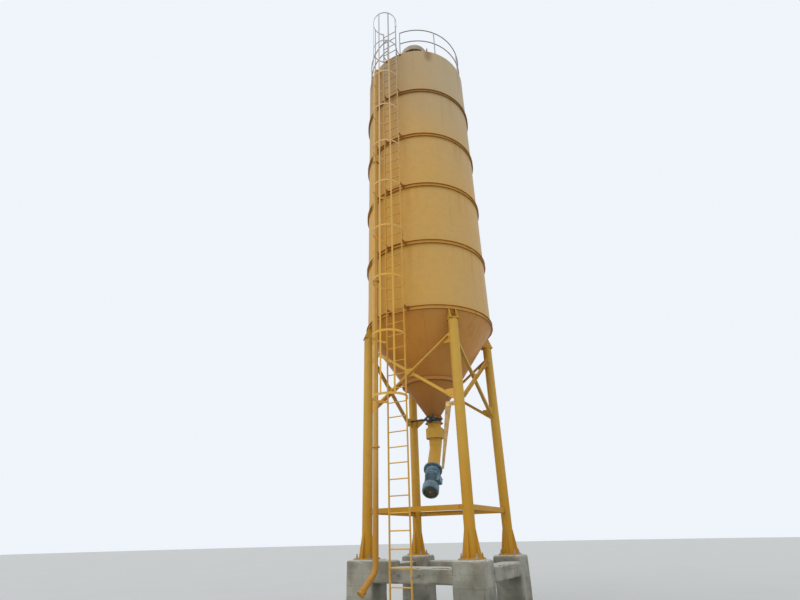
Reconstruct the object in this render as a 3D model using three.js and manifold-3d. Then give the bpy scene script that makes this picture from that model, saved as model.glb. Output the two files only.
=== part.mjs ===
// Steel cement silo on four tube legs, with its concrete foundation.
// Millimetres, +Z up. The origin is on the ground under the silo's axis.
// The ladder stands on the -Y side, and angles round the silo are measured from there towards +X.
import * as THREE from 'three';
import { mergeVertices } from 'three/addons/utils/BufferGeometryUtils.js';
import Module from 'manifold-3d';

const wasm = await Module();
wasm.setup();

// Driving dimensions
const GAP = 0.3; // seating gap between pieces that rest on or fit round each other
const OVERLAP = 1; // how far shapes that are joined or cut run into each other
const ROUND_SIDES = 32; // sides of the large rounds
const DRUM_SIDES = 16; // sides of the filter, hatch, valve and screw
const TUBE_SIDES = 12; // sides of pipes and legs
const STEM_SIDES = 8; // sides of the valve's stem and arm
const ROD_SIDES = 6; // sides of thin rods

const SHELL_RADIUS = 1600;
const SHELL_THICKNESS = 6;
const SHELL_BOTTOM = 6298;
const ROOF_EDGE = 15460;
const COURSE_HEIGHT = 1815;
const COURSE_COUNT = 5;

const RING_HEIGHT = 100; // stiffener channels, open outwards
const RING_REACH = 45;
const RING_PLATE = 7;

const CONE_SLOPE = THREE.MathUtils.degToRad(56);
const CONE_THICKNESS = 6;
const CONE_JOINT_RADIUS = 700; // where the two cone courses meet, at their band
const CONE_BAND_HEIGHT = 80;
const CONE_BAND_REACH = 40;
const OUTLET_RADIUS = 150;
const OUTLET_FLANGE_RADIUS = 215;
const OUTLET_FLANGE_HEIGHT = 14;
const OUTLET_SPIGOT_HEIGHT = 30;

const LEG_OFFSET = 1145; // distance of each leg's axis from the silo's axis, along X and along Y
const LEG_RADIUS = 109.5;
const LEG_FOOT = 1200; // top of the concrete piers
const LEG_PLATE_THICKNESS = 22;
const LEG_PLATE_SIDE = 400;
const LEG_GUSSET_HEIGHT = 480;
const LEG_GUSSET_REACH = 85;
const LEG_GUSSET_TOE = 30; // height of each gusset's outer edge
const LEG_GUSSET_TIP = 8; // width of each gusset's top edge
const GUSSET_THICKNESS = 12;
const CAP_TOP = 6060;
const CAP_WIDTH = 230;
const CAP_LENGTH = 240;
const SADDLE_SPACING = 170;
const SADDLE_THICKNESS = 16;
const SADDLE_RING_MARGIN = 5; // the saddle plates' top corners stay this far inside the ring's edge
const SADDLE_BEHIND_CONE = 60; // how far their blanks run behind the cone's face before it trims them

const PIER_SIDE = 620;
const BEAM_WIDTH = 400;
const BEAM_TOP = 1090;
const BEAM_BOTTOM = 800;
const PLINTH_END = -400; // the first pier's top runs on to here, in place of the front beam's end

const BRACE_TOP = 5780; // where the diagonals' centre lines meet the leg axes
const BRACE_BOTTOM = 4160;
const BRACE_WIDTH = 70;
const BRACE_THICKNESS = 7;
const BRACE_PLATE = 10;
const BRACE_CENTRE_PLATE = 190;
const BRACE_END_PLATE_REACH = 185;
const BRACE_END_PLATE_EDGE = 45; // from a bar's centre line to the end plate's edge beyond it
const BRACE_END_PLATE_DEPTH = 200; // and to the plate's level edge, measured at the leg
const BRACE_END_MARGIN = 45; // the bars end this far from the leg tubes

const TIE_CENTRE = 2090;
const TIE_HEIGHT = 100;
const TIE_DEPTH = 50;
const TIE_PLATE = 7;

const ROOF_RISE = 150;
const ROOF_PLATE = 6;
const ROOF_CROWN_RADIUS = 430;
const ROOF_LUG_ANGLES = [41, 119, 241, 319];
const ROOF_LUG_HEIGHT = 110;
const ROOF_LUG_WIDTH = 90;
const ROOF_LUG_THICKNESS = 16;
const ROOF_LUG_RADIUS = 1530;

const FILTER_RADIUS = 340;
const FILTER_FLANGE_RADIUS = 400;
const FILTER_FLANGE_HEIGHT = 25;
const CAP_RIM_HEIGHT = 17150;
const CAP_RIM_RADIUS = 500;
const CAP_SKIRT = 140; // upright rim under the dome
const CAP_DOME_HEIGHT = 330;
const CAP_PLATE = 5;
const CAP_STEPS = 6; // facets of the dome from rim to crown
const CAP_POST_RADIUS = 60;
const FILTER_TOP = CAP_RIM_HEIGHT + 40;

const HATCH_RADIUS = 300;
const HATCH_ANGLE = 120;
const HATCH_DISTANCE = 960;
const HATCH_HEIGHT = 170;
const HATCH_LID_THICKNESS = 25;
const HATCH_LID_LIP = 30;

const RAIL_RADIUS = 1550; // handrail posts stand on the roof, near its edge
const RAIL_ROD_RADIUS = 17;
const RAIL_HEIGHT = 1140;
const MID_RAIL_HEIGHT = 570;
const RAIL_PAD_HEIGHT = 30; // the posts' foot pads reach this far above the roof edge
const RAIL_PAD_WIDTH = 70;
const RAIL_FIRST_ANGLE = 8.5;
const RAIL_BAYS = 8;
const RAIL_BAYS_PER_PANEL = 4;
const RAIL_PANEL_NAMES = ['right', 'left'];
const RAIL_PANEL_TRIM = 1.6; // degrees between the end of a panel's rails and the next panel's post
const RAIL_STEPS = 20; // facets of each panel's rails

const LADDER_STANDOFF = 1800; // from the silo's axis to the plane of the rungs
const LADDER_HALF_WIDTH = 225;
const STILE_WIDTH = 60;
const STILE_THICKNESS = 10;
const LADDER_FOOT = 0;
const LADDER_SPLIT = 6500;
const LADDER_TOP = 16520;
const RUNG_SPACING = 305;
const FIRST_RUNG = 300;
const RUNG_RADIUS = 12;
const RUNG_END_MARGIN = 60; // no rung lies nearer than this to a stile's end
const BRACKET_WIDTH = 50;
const BRACKET_THICKNESS = 8;

const HOOP_COUNT = 10;
const FIRST_HOOP = 4170;
const HOOP_SPACING = 1370;
const HOOP_RADIUS = 380;
const HOOP_WIDTH = 50; // flat bar on edge: height along Z
const HOOP_THICKNESS = 6;
const HOOP_CENTRE_OUT = 300; // from the rungs' plane to the hoops' centre
const HOOP_END_ANGLE = 136; // from the hoop's front to where it meets the cleat on a stile
const HOOP_ROOT_ANGLE = 144; // and on to where that cleat ends inside the stile
const HOOP_FACET = 11; // degrees, at most
const CAGE_BAR_WIDTH = 40;
const CAGE_BAR_THICKNESS = 6;
const CAGE_BAR_ANGLE = 46; // between neighbouring upright bars

const FILL_PIPE_RADIUS = 57;
const FILL_PIPE_ANGLE = -20.5;
const FILL_PIPE_DISTANCE = 1770;
const FILL_PIPE_TOP = 15180; // height of the level run into the shell
const FILL_BEND_RADIUS = 120;
const FILL_FOOT_BEND = 1020;
const FILL_FOOT_TURN = THREE.MathUtils.degToRad(45); // how far the foot leans out from upright
const FILL_FOOT_LENGTH = 500;
const FILL_BEND_STEPS = 4;
const COUPLING_RADIUS = 78;
const COUPLING_LENGTH = 90;
const COUPLING_LIP = 4; // how far the coupling stands past the pipe's end
const CLAMP_WIDTH = 40;

const SPOUT_RADIUS = 205;
const SPOUT_TOP = 3880;
const SPOUT_BOTTOM = 3650; // below it a pipe as wide as the screw's tube runs on into the tube
const NECK_RADIUS = 158;
const VALVE_RADIUS = 195;
const VALVE_BOTTOM = 4010;
const VALVE_STEM_RADIUS = 24;
const ACTUATOR_RADIUS = 75;
const ACTUATOR_NEAR = 215;
const ACTUATOR_FAR = 330;
const ACTUATOR_ARM_RADIUS = 28;
const ACTUATOR_ARM_REACH = 480;
const INDICATOR_HEIGHT = 150;
const INDICATOR_SIDE = 64;
const INDICATOR_NECK = 20; // how far the indicator's block runs into the actuator

const SCREW_RADIUS = 137;
const SCREW_WALL = 7;
const SCREW_TURN = THREE.MathUtils.degToRad(16);
const SCREW_SLOPE = THREE.MathUtils.degToRad(45);
const SCREW_AXIS_HEIGHT = 3420; // where the screw's axis crosses the silo's axis
const SCREW_UPPER_END = -620;
const SCREW_LOWER_END = 740;
const SCREW_FLANGE_RADIUS = 205;
const SCREW_FLANGE_THICKNESS = 14;
const SCREW_SHAFT_RADIUS = 40;
const SCREW_END_WALL = 60; // closed length behind the lower flange
const SCREW_SHAFT_INSET = 20; // how far the shaft starts inside the upper flange
const GEARBOX_END = 950;
const GEARBOX_RADIUS = 158;
const GEARBOX_WAIST_RADIUS = 140;
const GEARBOX_FOOT_RADIUS = 203;
const GEARBOX_FLANGE = 26;
const GEARBOX_BELLY_INSET = 55; // the thick middle lies this far inside each end
const MOTOR_END = 1440;
const MOTOR_RADIUS = 150;
const MOTOR_FLANGE = 24;
const COWL_RADIUS = 176;
const COWL_LENGTH = 170;
const TERMINAL_BOX = { width: 150, length: 170, height: 70, start: 90, sunk: 20 };
const TERMINAL_BOX_TURN = THREE.MathUtils.degToRad(-60);

const HANGER_TOP = 4165;
const HANGER_HEAD_INSET = 245; // from the leg's axis to the strut's head, along X
const HANGER_FOOT_WIDTH = 50;
const HANGER_FOOT_OUT = 10; // the strut's middle stands this far outside the screw's flange
const HANGER_HEAD_WIDTH = 130;
const HANGER_THICKNESS = 10;
const HANGER_FACING = 25; // degrees round the silo that the strut's flat side faces
const HANGER_FOOT_CLEARANCE = 60; // half length of the space trimmed round the screw's flange
const HANGER_CLEAT_HEIGHT = 100; // of the plate that joins the strut's head to the leg

// Materials
const ochrePaint = 0xb8903f;
const shadedPaint = 0xa98544;
const concreteGrey = 0x9b968a;
const motorBlue = 0x4d7192;
const blackPaint = 0x22242a;

function material(color, roughness, metalness) {
  return new THREE.MeshStandardMaterial({ color, roughness, metalness });
}

// Solids: joining and cutting
function toSolid(geometry) {
  const bare = geometry.clone();
  bare.deleteAttribute('normal');
  bare.deleteAttribute('uv');
  const merged = mergeVertices(bare, 1e-4);
  const vertProperties = new Float32Array(merged.getAttribute('position').array);
  const triVerts = new Uint32Array(merged.getIndex().array);
  return new wasm.Manifold(new wasm.Mesh({ numProp: 3, vertProperties, triVerts }));
}

function fromSolid(solid) {
  const mesh = solid.getMesh();
  const geometry = new THREE.BufferGeometry();
  geometry.setAttribute('position', new THREE.BufferAttribute(new Float32Array(mesh.vertProperties), 3));
  geometry.setIndex(new THREE.BufferAttribute(new Uint32Array(mesh.triVerts), 1));
  return geometry;
}

function unite(geometries) {
  const solids = geometries.map(toSolid);
  return fromSolid(solids.reduce((all, solid) => all.add(solid)));
}

function cut(geometry, cutters) {
  return fromSolid(cutters.reduce((rest, cutter) => rest.subtract(toSolid(cutter)), toSolid(geometry)));
}

// Shapes in the silo's frame
function radians(degrees) {
  return THREE.MathUtils.degToRad(degrees);
}

function polar(degrees, radius, z) {
  return new THREE.Vector3(radius * Math.sin(radians(degrees)), -radius * Math.cos(radians(degrees)), z);
}

function block(x0, x1, y0, y1, z0, z1) {
  const box = new THREE.BoxGeometry(x1 - x0, y1 - y0, z1 - z0);
  return box.translate((x0 + x1) / 2, (y0 + y1) / 2, (z0 + z1) / 2);
}

// A profile of [radius, height] points, turned round the silo's axis, outer side upwards
function turned(profile, sides = ROUND_SIDES) {
  const points = profile.map(([radius, height]) => new THREE.Vector2(radius, height));
  return new THREE.LatheGeometry(points, sides).rotateX(Math.PI / 2);
}

function ring(inner, outer, bottom, top, sides = ROUND_SIDES) {
  return turned([[inner, bottom], [outer, bottom], [outer, top], [inner, top], [inner, bottom]], sides);
}

function drum(radius, bottom, top, sides = ROUND_SIDES) {
  return turned([[0, bottom], [radius, bottom], [radius, top], [0, top]], sides);
}

// Moves a shape built along +Z from the origin to start at a point and follow a direction
function aim(geometry, start, direction) {
  const turn = new THREE.Quaternion().setFromUnitVectors(new THREE.Vector3(0, 0, 1), direction);
  return geometry.applyQuaternion(turn).translate(start.x, start.y, start.z);
}

function rod(start, end, radius, sides = ROD_SIDES) {
  const along = end.clone().sub(start);
  const shape = drum(radius, 0, along.length(), sides);
  return aim(shape, start, along.normalize());
}

// A plate with an outline of [x, y] points, as thick above the XY plane as below it
function slab(outline, thickness) {
  const shape = new THREE.Shape(outline.map(([x, y]) => new THREE.Vector2(x, y)));
  const plate = new THREE.ExtrudeGeometry(shape, { depth: thickness, bevelEnabled: false });
  return plate.translate(0, 0, -thickness / 2);
}

// A plate whose outline lies in the plane of the silo's axis and an angle round it
function radialPlate(outline, thickness, degrees, sideways = 0) {
  const plate = slab(outline, thickness).translate(0, 0, -sideways);
  return plate.rotateX(Math.PI / 2).rotateZ(radians(degrees - 90));
}

// A bar of the given section, swept along a curve
function swept(section, curve, steps) {
  return new THREE.ExtrudeGeometry(section, { steps, extrudePath: curve, bevelEnabled: false });
}

function roundSection(radius, sides) {
  const points = [];
  for (let i = 0; i < sides; i += 1) {
    const angle = (2 * Math.PI * i) / sides;
    points.push(new THREE.Vector2(radius * Math.cos(angle), radius * Math.sin(angle)));
  }
  return new THREE.Shape(points);
}

class LevelArc extends THREE.Curve {
  constructor(centre, radius, startDegrees, endDegrees) {
    super();
    Object.assign(this, { centre, radius, startDegrees, endDegrees });
  }

  getPoint(t) {
    const angle = this.startDegrees + (this.endDegrees - this.startDegrees) * t;
    return polar(angle, this.radius, 0).add(this.centre);
  }
}

// Foundation: four piers joined by four beams
const LEG_SIGNS = [[-1, -1], [1, -1], [1, 1], [-1, 1]];

function foundationPier(signX, signY) {
  const half = PIER_SIDE / 2;
  const x = signX * LEG_OFFSET;
  const y = signY * LEG_OFFSET;
  const pier = block(x - half, x + half, y - half, y + half, 0, LEG_FOOT);
  if (signX > 0 || signY > 0) return pier;
  const plinth = block(x, PLINTH_END, y - half, y - half + BEAM_WIDTH, BEAM_BOTTOM, LEG_FOOT);
  return unite([pier, plinth]);
}

// The beam on the -Y side, from the given X; the others are turned copies of a whole one
function foundationBeam(start) {
  const end = LEG_OFFSET - PIER_SIDE / 2;
  const outer = -(LEG_OFFSET + PIER_SIDE / 2);
  return block(start, end, outer, outer + BEAM_WIDTH, BEAM_BOTTOM, BEAM_TOP);
}

// Cone: radius of its outer face at a height
function coneRadius(z) {
  return SHELL_RADIUS - (SHELL_BOTTOM - z) / Math.tan(CONE_SLOPE);
}

function coneHeight(radius) {
  return SHELL_BOTTOM - (SHELL_RADIUS - radius) * Math.tan(CONE_SLOPE);
}

const CONE_WALL = CONE_THICKNESS / Math.sin(CONE_SLOPE);

function coneCourse(bottomRadius, topRadius) {
  const bottom = coneHeight(bottomRadius);
  const top = coneHeight(topRadius);
  const profile = [
    [bottomRadius - CONE_WALL, bottom],
    [bottomRadius, bottom],
    [topRadius, top],
    [topRadius - CONE_WALL, top],
    [bottomRadius - CONE_WALL, bottom],
  ];
  return turned(profile);
}

// The band round the joint of the two cone courses is part of the lower one
function lowerCone() {
  const joint = coneHeight(CONE_JOINT_RADIUS);
  const bandBottom = joint - CONE_BAND_HEIGHT;
  const outlet = coneHeight(OUTLET_RADIUS);
  const spigot = outlet - OUTLET_SPIGOT_HEIGHT;
  const profile = [
    [OUTLET_RADIUS - CONE_WALL, spigot - OUTLET_FLANGE_HEIGHT],
    [OUTLET_FLANGE_RADIUS, spigot - OUTLET_FLANGE_HEIGHT],
    [OUTLET_FLANGE_RADIUS, spigot],
    [OUTLET_RADIUS, spigot],
    [OUTLET_RADIUS, outlet],
    [coneRadius(bandBottom), bandBottom],
    [CONE_JOINT_RADIUS + CONE_BAND_REACH, bandBottom],
    [CONE_JOINT_RADIUS + CONE_BAND_REACH, joint - GAP],
    [CONE_JOINT_RADIUS - CONE_WALL, joint - GAP],
    [OUTLET_RADIUS - CONE_WALL, outlet],
    [OUTLET_RADIUS - CONE_WALL, spigot - OUTLET_FLANGE_HEIGHT],
  ];
  return turned(profile);
}

// Leg: foot plate with gussets, tube, cap plate and the two saddle plates that carry the bottom ring
function leg(signX, signY) {
  const x = signX * LEG_OFFSET;
  const y = signY * LEG_OFFSET;
  const half = LEG_PLATE_SIDE / 2;
  const plateTop = LEG_FOOT + LEG_PLATE_THICKNESS;
  const tube = drum(LEG_RADIUS, LEG_FOOT + OVERLAP, CAP_TOP - OVERLAP, TUBE_SIDES).translate(x, y, 0);
  const footPlate = block(x - half, x + half, y - half, y + half, LEG_FOOT, plateTop);
  const gussets = [0, 90, 180, 270].map((degrees) => footGusset(plateTop, degrees).translate(x, y, 0));
  const angle = THREE.MathUtils.radToDeg(Math.atan2(x, -y));
  const distance = Math.hypot(x, y);
  const cap = block(
    -CAP_WIDTH / 2, CAP_WIDTH / 2,
    -distance - CAP_LENGTH / 2, -distance + CAP_LENGTH / 2,
    CAP_TOP - LEG_PLATE_THICKNESS, CAP_TOP,
  ).rotateZ(radians(angle));
  const saddles = [-1, 1].map((side) => saddlePlate(distance, angle, side));
  return unite([tube, footPlate, ...gussets, cap, ...saddles]);
}

function footGusset(plateTop, degrees) {
  const inner = LEG_RADIUS - GUSSET_THICKNESS;
  const outer = LEG_RADIUS + LEG_GUSSET_REACH;
  const top = plateTop + LEG_GUSSET_HEIGHT;
  const outline = [
    [inner, plateTop - OVERLAP],
    [outer, plateTop - OVERLAP],
    [outer, plateTop + LEG_GUSSET_TOE],
    [LEG_RADIUS + LEG_GUSSET_TIP, top],
    [inner, top],
  ];
  return radialPlate(outline, GUSSET_THICKNESS, degrees);
}

function saddlePlate(distance, angle, side) {
  const top = SHELL_BOTTOM - GAP;
  const bottom = CAP_TOP - OVERLAP;
  const outline = [
    [coneRadius(bottom) - SADDLE_BEHIND_CONE, bottom],
    [distance + CAP_LENGTH / 2, bottom],
    [SHELL_RADIUS + RING_REACH - SADDLE_RING_MARGIN, top],
    [coneRadius(top) - SADDLE_BEHIND_CONE, top],
  ];
  const plate = radialPlate(outline, SADDLE_THICKNESS, angle, (side * SADDLE_SPACING) / 2);
  const below = bottom - SADDLE_BEHIND_CONE;
  const above = top + SADDLE_BEHIND_CONE;
  const clearance = turned([
    [0, below],
    [coneRadius(below) + 2 * GAP, below],
    [coneRadius(above) + 2 * GAP, above],
    [0, above],
  ]);
  return cut(plate, [clearance]);
}

// One side's pair of crossed angle bars with their plates, on the -Y side
function crossBrace() {
  const rise = BRACE_TOP - BRACE_BOTTOM;
  const slope = Math.atan2(rise, 2 * LEG_OFFSET);
  const centre = (BRACE_TOP + BRACE_BOTTOM) / 2;
  const reach = LEG_OFFSET - LEG_RADIUS - GAP;
  const barHalf = (reach - BRACE_END_MARGIN) / Math.cos(slope);
  const inPlane = BRACE_PLATE / 2;
  const w = BRACE_WIDTH / 2;
  const angleBar = (facing, tilt) => {
    const back = inPlane - OVERLAP;
    const flat = block(-barHalf, barHalf, back, inPlane + BRACE_THICKNESS, -w, w);
    const lip = block(-barHalf, barHalf, back, inPlane + BRACE_WIDTH, -w, -w + BRACE_THICKNESS);
    const bar = unite([flat, lip]);
    if (facing < 0) bar.rotateZ(Math.PI);
    return bar.rotateY(tilt).translate(0, -LEG_OFFSET, centre);
  };
  const c = BRACE_CENTRE_PLATE / 2;
  const plate = (outline) => {
    return slab(outline, BRACE_PLATE).rotateX(Math.PI / 2).translate(0, -LEG_OFFSET, centre);
  };
  const plates = [plate([[-c, -c], [c, -c], [c, c], [-c, c]])];
  const near = reach - BRACE_END_PLATE_REACH;
  const heightAt = (x) => x * Math.tan(slope);
  const level = heightAt(reach) - BRACE_END_PLATE_DEPTH;
  for (const side of [-1, 1]) {
    for (const up of [-1, 1]) {
      plates.push(plate([
        [side * reach, up * (heightAt(reach) + BRACE_END_PLATE_EDGE)],
        [side * near, up * (heightAt(near) + BRACE_END_PLATE_EDGE)],
        [side * near, up * level],
        [side * reach, up * level],
      ]));
    }
  }
  return unite([...plates, angleBar(1, slope), angleBar(-1, -slope)]);
}

// One side's level channel between the legs, web outwards, on the -Y side
function legTie() {
  const reach = LEG_OFFSET - LEG_RADIUS - GAP;
  const h = TIE_HEIGHT / 2;
  const web = -LEG_OFFSET - TIE_DEPTH / 2;
  const full = block(-reach, reach, web, web + TIE_DEPTH, TIE_CENTRE - h, TIE_CENTRE + h);
  const hollow = block(
    -reach - OVERLAP, reach + OVERLAP,
    web + TIE_PLATE, web + TIE_DEPTH + OVERLAP,
    TIE_CENTRE - h + TIE_PLATE, TIE_CENTRE + h - TIE_PLATE,
  );
  return cut(full, [hollow]);
}

// Shell courses and their stiffener channels
const RING_HEIGHTS = [];
for (let i = 0; i < COURSE_COUNT; i += 1) {
  RING_HEIGHTS.push(SHELL_BOTTOM + RING_HEIGHT / 2 + i * COURSE_HEIGHT);
}

function shellCourse(index) {
  const bottom = index === 0 ? SHELL_BOTTOM : RING_HEIGHTS[index];
  const top = index === COURSE_COUNT - 1 ? ROOF_EDGE : RING_HEIGHTS[index + 1];
  return ring(SHELL_RADIUS - SHELL_THICKNESS, SHELL_RADIUS, bottom, top);
}

function stiffenerRing(centre) {
  const inner = SHELL_RADIUS + GAP;
  const outer = SHELL_RADIUS + RING_REACH;
  const bottom = centre - RING_HEIGHT / 2;
  const top = centre + RING_HEIGHT / 2;
  const profile = [
    [inner, bottom],
    [outer, bottom],
    [outer, bottom + RING_PLATE],
    [inner + RING_PLATE, bottom + RING_PLATE],
    [inner + RING_PLATE, top - RING_PLATE],
    [outer, top - RING_PLATE],
    [outer, top],
    [inner, top],
    [inner, bottom],
  ];
  return turned(profile);
}

// The space that pieces fastened to the shell or its rings are trimmed to
function siloClearance() {
  const rings = RING_HEIGHTS.map((centre) => {
    const half = RING_HEIGHT / 2 + GAP;
    return drum(SHELL_RADIUS + RING_REACH + GAP, centre - half, centre + half);
  });
  return unite([drum(SHELL_RADIUS + GAP, SHELL_BOTTOM, ROOF_EDGE), ...rings]);
}

// Roof: a low cone with a level crown for the filter, and four lifting lugs on its edge
const ROOF_SLOPE = ROOF_RISE / (SHELL_RADIUS - ROOF_CROWN_RADIUS);
const CROWN_TOP = ROOF_EDGE + ROOF_RISE + ROOF_PLATE;

function roofPlate() {
  return turned([
    [0, ROOF_EDGE + ROOF_RISE],
    [ROOF_CROWN_RADIUS, ROOF_EDGE + ROOF_RISE],
    [SHELL_RADIUS, ROOF_EDGE],
    [SHELL_RADIUS, ROOF_EDGE + ROOF_PLATE],
    [ROOF_CROWN_RADIUS, CROWN_TOP],
    [0, CROWN_TOP],
  ]);
}

// Everything under the roof's upper face, to seat what stands on it
function underRoof() {
  return turned([
    [0, ROOF_EDGE - HATCH_HEIGHT],
    [SHELL_RADIUS, ROOF_EDGE - HATCH_HEIGHT],
    [SHELL_RADIUS, ROOF_EDGE + ROOF_PLATE + GAP],
    [ROOF_CROWN_RADIUS, CROWN_TOP + GAP],
    [0, CROWN_TOP + GAP],
  ]);
}

function roof() {
  const half = ROOF_LUG_WIDTH / 2;
  const foot = ROOF_EDGE + (SHELL_RADIUS - ROOF_LUG_RADIUS - half) * ROOF_SLOPE + ROOF_PLATE / 2;
  const top = ROOF_EDGE + ROOF_LUG_HEIGHT;
  const outline = [
    [ROOF_LUG_RADIUS - half, foot],
    [ROOF_LUG_RADIUS + half, foot],
    [ROOF_LUG_RADIUS + half, top - half / 2],
    [ROOF_LUG_RADIUS + half / 2, top],
    [ROOF_LUG_RADIUS - half / 2, top],
    [ROOF_LUG_RADIUS - half, top - half / 2],
  ];
  const lugs = ROOF_LUG_ANGLES.map((angle) => radialPlate(outline, ROOF_LUG_THICKNESS, angle));
  return unite([roofPlate(), ...lugs]);
}

// Filter and its rain cap
function filterBody() {
  const flangeTop = CROWN_TOP + FILTER_FLANGE_HEIGHT;
  return turned([
    [0, CROWN_TOP],
    [FILTER_FLANGE_RADIUS, CROWN_TOP],
    [FILTER_FLANGE_RADIUS, flangeTop],
    [FILTER_RADIUS, flangeTop],
    [FILTER_RADIUS, FILTER_TOP],
    [0, FILTER_TOP],
  ], DRUM_SIDES);
}

function filterCap() {
  const domeFoot = CAP_RIM_HEIGHT + CAP_SKIRT;
  const dome = (radius, height) => {
    const points = [[radius, CAP_RIM_HEIGHT]];
    for (let i = 0; i <= CAP_STEPS; i += 1) {
      const angle = (Math.PI / 2) * (i / CAP_STEPS);
      points.push([radius * Math.cos(angle), domeFoot + height * Math.sin(angle)]);
    }
    return points;
  };
  const outer = dome(CAP_RIM_RADIUS, CAP_DOME_HEIGHT);
  const inner = dome(CAP_RIM_RADIUS - CAP_PLATE, CAP_DOME_HEIGHT - CAP_PLATE).reverse();
  inner[0][0] = 0;
  outer[outer.length - 1][0] = 0;
  const shell = turned([...inner, ...outer], DRUM_SIDES);
  const postTop = domeFoot + CAP_DOME_HEIGHT - CAP_PLATE / 2;
  const post = drum(CAP_POST_RADIUS, FILTER_TOP, postTop, TUBE_SIDES);
  return unite([shell, post]);
}

function roofHatch() {
  const centre = polar(HATCH_ANGLE, HATCH_DISTANCE, 0);
  const top = ROOF_EDGE + HATCH_HEIGHT;
  const curb = drum(HATCH_RADIUS, ROOF_EDGE, top, DRUM_SIDES);
  const lid = drum(HATCH_RADIUS + HATCH_LID_LIP, top - OVERLAP, top + HATCH_LID_THICKNESS, DRUM_SIDES);
  const hatch = unite([curb, lid]).translate(centre.x, centre.y, 0);
  return cut(hatch, [underRoof()]);
}

// Handrail panels, each of several bays, whose posts stand on the roof
const RAIL_STEP = (360 - 2 * RAIL_FIRST_ANGLE) / RAIL_BAYS;

function railPanel(index) {
  const first = index * RAIL_BAYS_PER_PANEL;
  const last = first + RAIL_BAYS_PER_PANEL;
  const angleOf = (post) => RAIL_FIRST_ANGLE + post * RAIL_STEP;
  const trim = index < RAIL_PANEL_NAMES.length - 1 ? RAIL_PANEL_TRIM : 0;
  const start = angleOf(first);
  const end = angleOf(last) - trim;
  const section = roundSection(RAIL_ROD_RADIUS, ROD_SIDES);
  const rails = [RAIL_HEIGHT - RAIL_ROD_RADIUS, MID_RAIL_HEIGHT].map((height) => {
    const arc = new LevelArc(new THREE.Vector3(0, 0, ROOF_EDGE + height), RAIL_RADIUS, start, end);
    return swept(section, arc, RAIL_STEPS);
  });
  const posts = [];
  const lastPost = trim > 0 ? last - 1 : last;
  for (let post = first; post <= lastPost; post += 1) {
    const foot = polar(angleOf(post), RAIL_RADIUS, ROOF_EDGE);
    const head = polar(angleOf(post), RAIL_RADIUS, ROOF_EDGE + RAIL_HEIGHT - RAIL_ROD_RADIUS);
    posts.push(rod(foot, head, RAIL_ROD_RADIUS + OVERLAP));
    const half = RAIL_PAD_WIDTH / 2;
    posts.push(radialPlate([
      [RAIL_RADIUS - half, ROOF_EDGE],
      [RAIL_RADIUS + half, ROOF_EDGE],
      [RAIL_RADIUS + half, ROOF_EDGE + RAIL_PAD_HEIGHT],
      [RAIL_RADIUS - half, ROOF_EDGE + RAIL_PAD_HEIGHT],
    ], RAIL_PAD_WIDTH, angleOf(post)));
  }
  return cut(unite([...rails, ...posts]), [underRoof()]);
}

// Ladder with its brackets, each given as its height and the Y it reaches back to, and the hoops' cleats
function ladder(bottom, top, brackets) {
  const x = LADDER_HALF_WIDTH;
  const w = STILE_WIDTH / 2;
  const t = STILE_THICKNESS / 2;
  const y = -LADDER_STANDOFF;
  const pieces = [-1, 1].map((side) => block(side * x - t, side * x + t, y - w, y + w, bottom, top));
  const firstIndex = Math.max(0, Math.ceil((bottom + RUNG_END_MARGIN - FIRST_RUNG) / RUNG_SPACING));
  for (let i = firstIndex; FIRST_RUNG + i * RUNG_SPACING < top - RUNG_END_MARGIN; i += 1) {
    const z = FIRST_RUNG + i * RUNG_SPACING;
    pieces.push(rod(new THREE.Vector3(-x, y, z), new THREE.Vector3(x, y, z), RUNG_RADIUS));
  }
  for (const [z, back] of brackets) {
    for (const side of [-1, 1]) {
      const edges = [side * x, side * (x + t + BRACKET_THICKNESS)].sort((a, b) => a - b);
      const h = BRACKET_WIDTH / 2;
      pieces.push(block(...edges, y, back, z - h, z + h));
    }
  }
  for (const z of hoopHeights().filter((height) => height > bottom && height < top)) {
    for (const side of [-1, 1]) {
      const cleat = hoopArc(side * (HOOP_END_ANGLE + HOOP_JOINT_GAP), side * HOOP_ROOT_ANGLE);
      pieces.push(cleat.translate(0, 0, z));
    }
  }
  return cut(unite(pieces), [siloClearance()]);
}

// Safety cage: round hoops and upright flat bars, in a left, a front and a right panel
const CAGE_CENTRE = -LADDER_STANDOFF - HOOP_CENTRE_OUT;
const BAR_HALF_SPAN = CAGE_BAR_WIDTH / 2 / (HOOP_RADIUS - HOOP_THICKNESS);
const BAR_HALF_ANGLE = THREE.MathUtils.radToDeg(Math.asin(BAR_HALF_SPAN));
const PANEL_JOINT = CAGE_BAR_ANGLE - BAR_HALF_ANGLE; // angle where the front hoops meet the side ones
const HOOP_JOINT_GAP = 0.1; // degrees

// A length of hoop between two angles, at height zero
function hoopArc(startDegrees, endDegrees) {
  const span = endDegrees - startDegrees;
  const steps = Math.ceil(Math.abs(span) / HOOP_FACET);
  const arc = (radius) => Array.from({ length: steps + 1 }, (unused, i) => {
    const point = polar(startDegrees + (span * i) / steps, radius, 0);
    return [point.x, point.y + CAGE_CENTRE];
  });
  const half = HOOP_THICKNESS / 2;
  return slab([...arc(HOOP_RADIUS + half), ...arc(HOOP_RADIUS - half).reverse()], HOOP_WIDTH);
}

function cageBar(degrees) {
  const bottom = FIRST_HOOP - HOOP_WIDTH / 2;
  const top = FIRST_HOOP + (HOOP_COUNT - 1) * HOOP_SPACING + HOOP_WIDTH / 2;
  const radius = HOOP_RADIUS - HOOP_THICKNESS / 2;
  const bar = block(
    -CAGE_BAR_WIDTH / 2, CAGE_BAR_WIDTH / 2,
    -radius - CAGE_BAR_THICKNESS / 2, -radius + CAGE_BAR_THICKNESS / 2,
    bottom, top,
  );
  return bar.rotateZ(radians(degrees)).translate(0, CAGE_CENTRE, 0);
}

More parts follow.
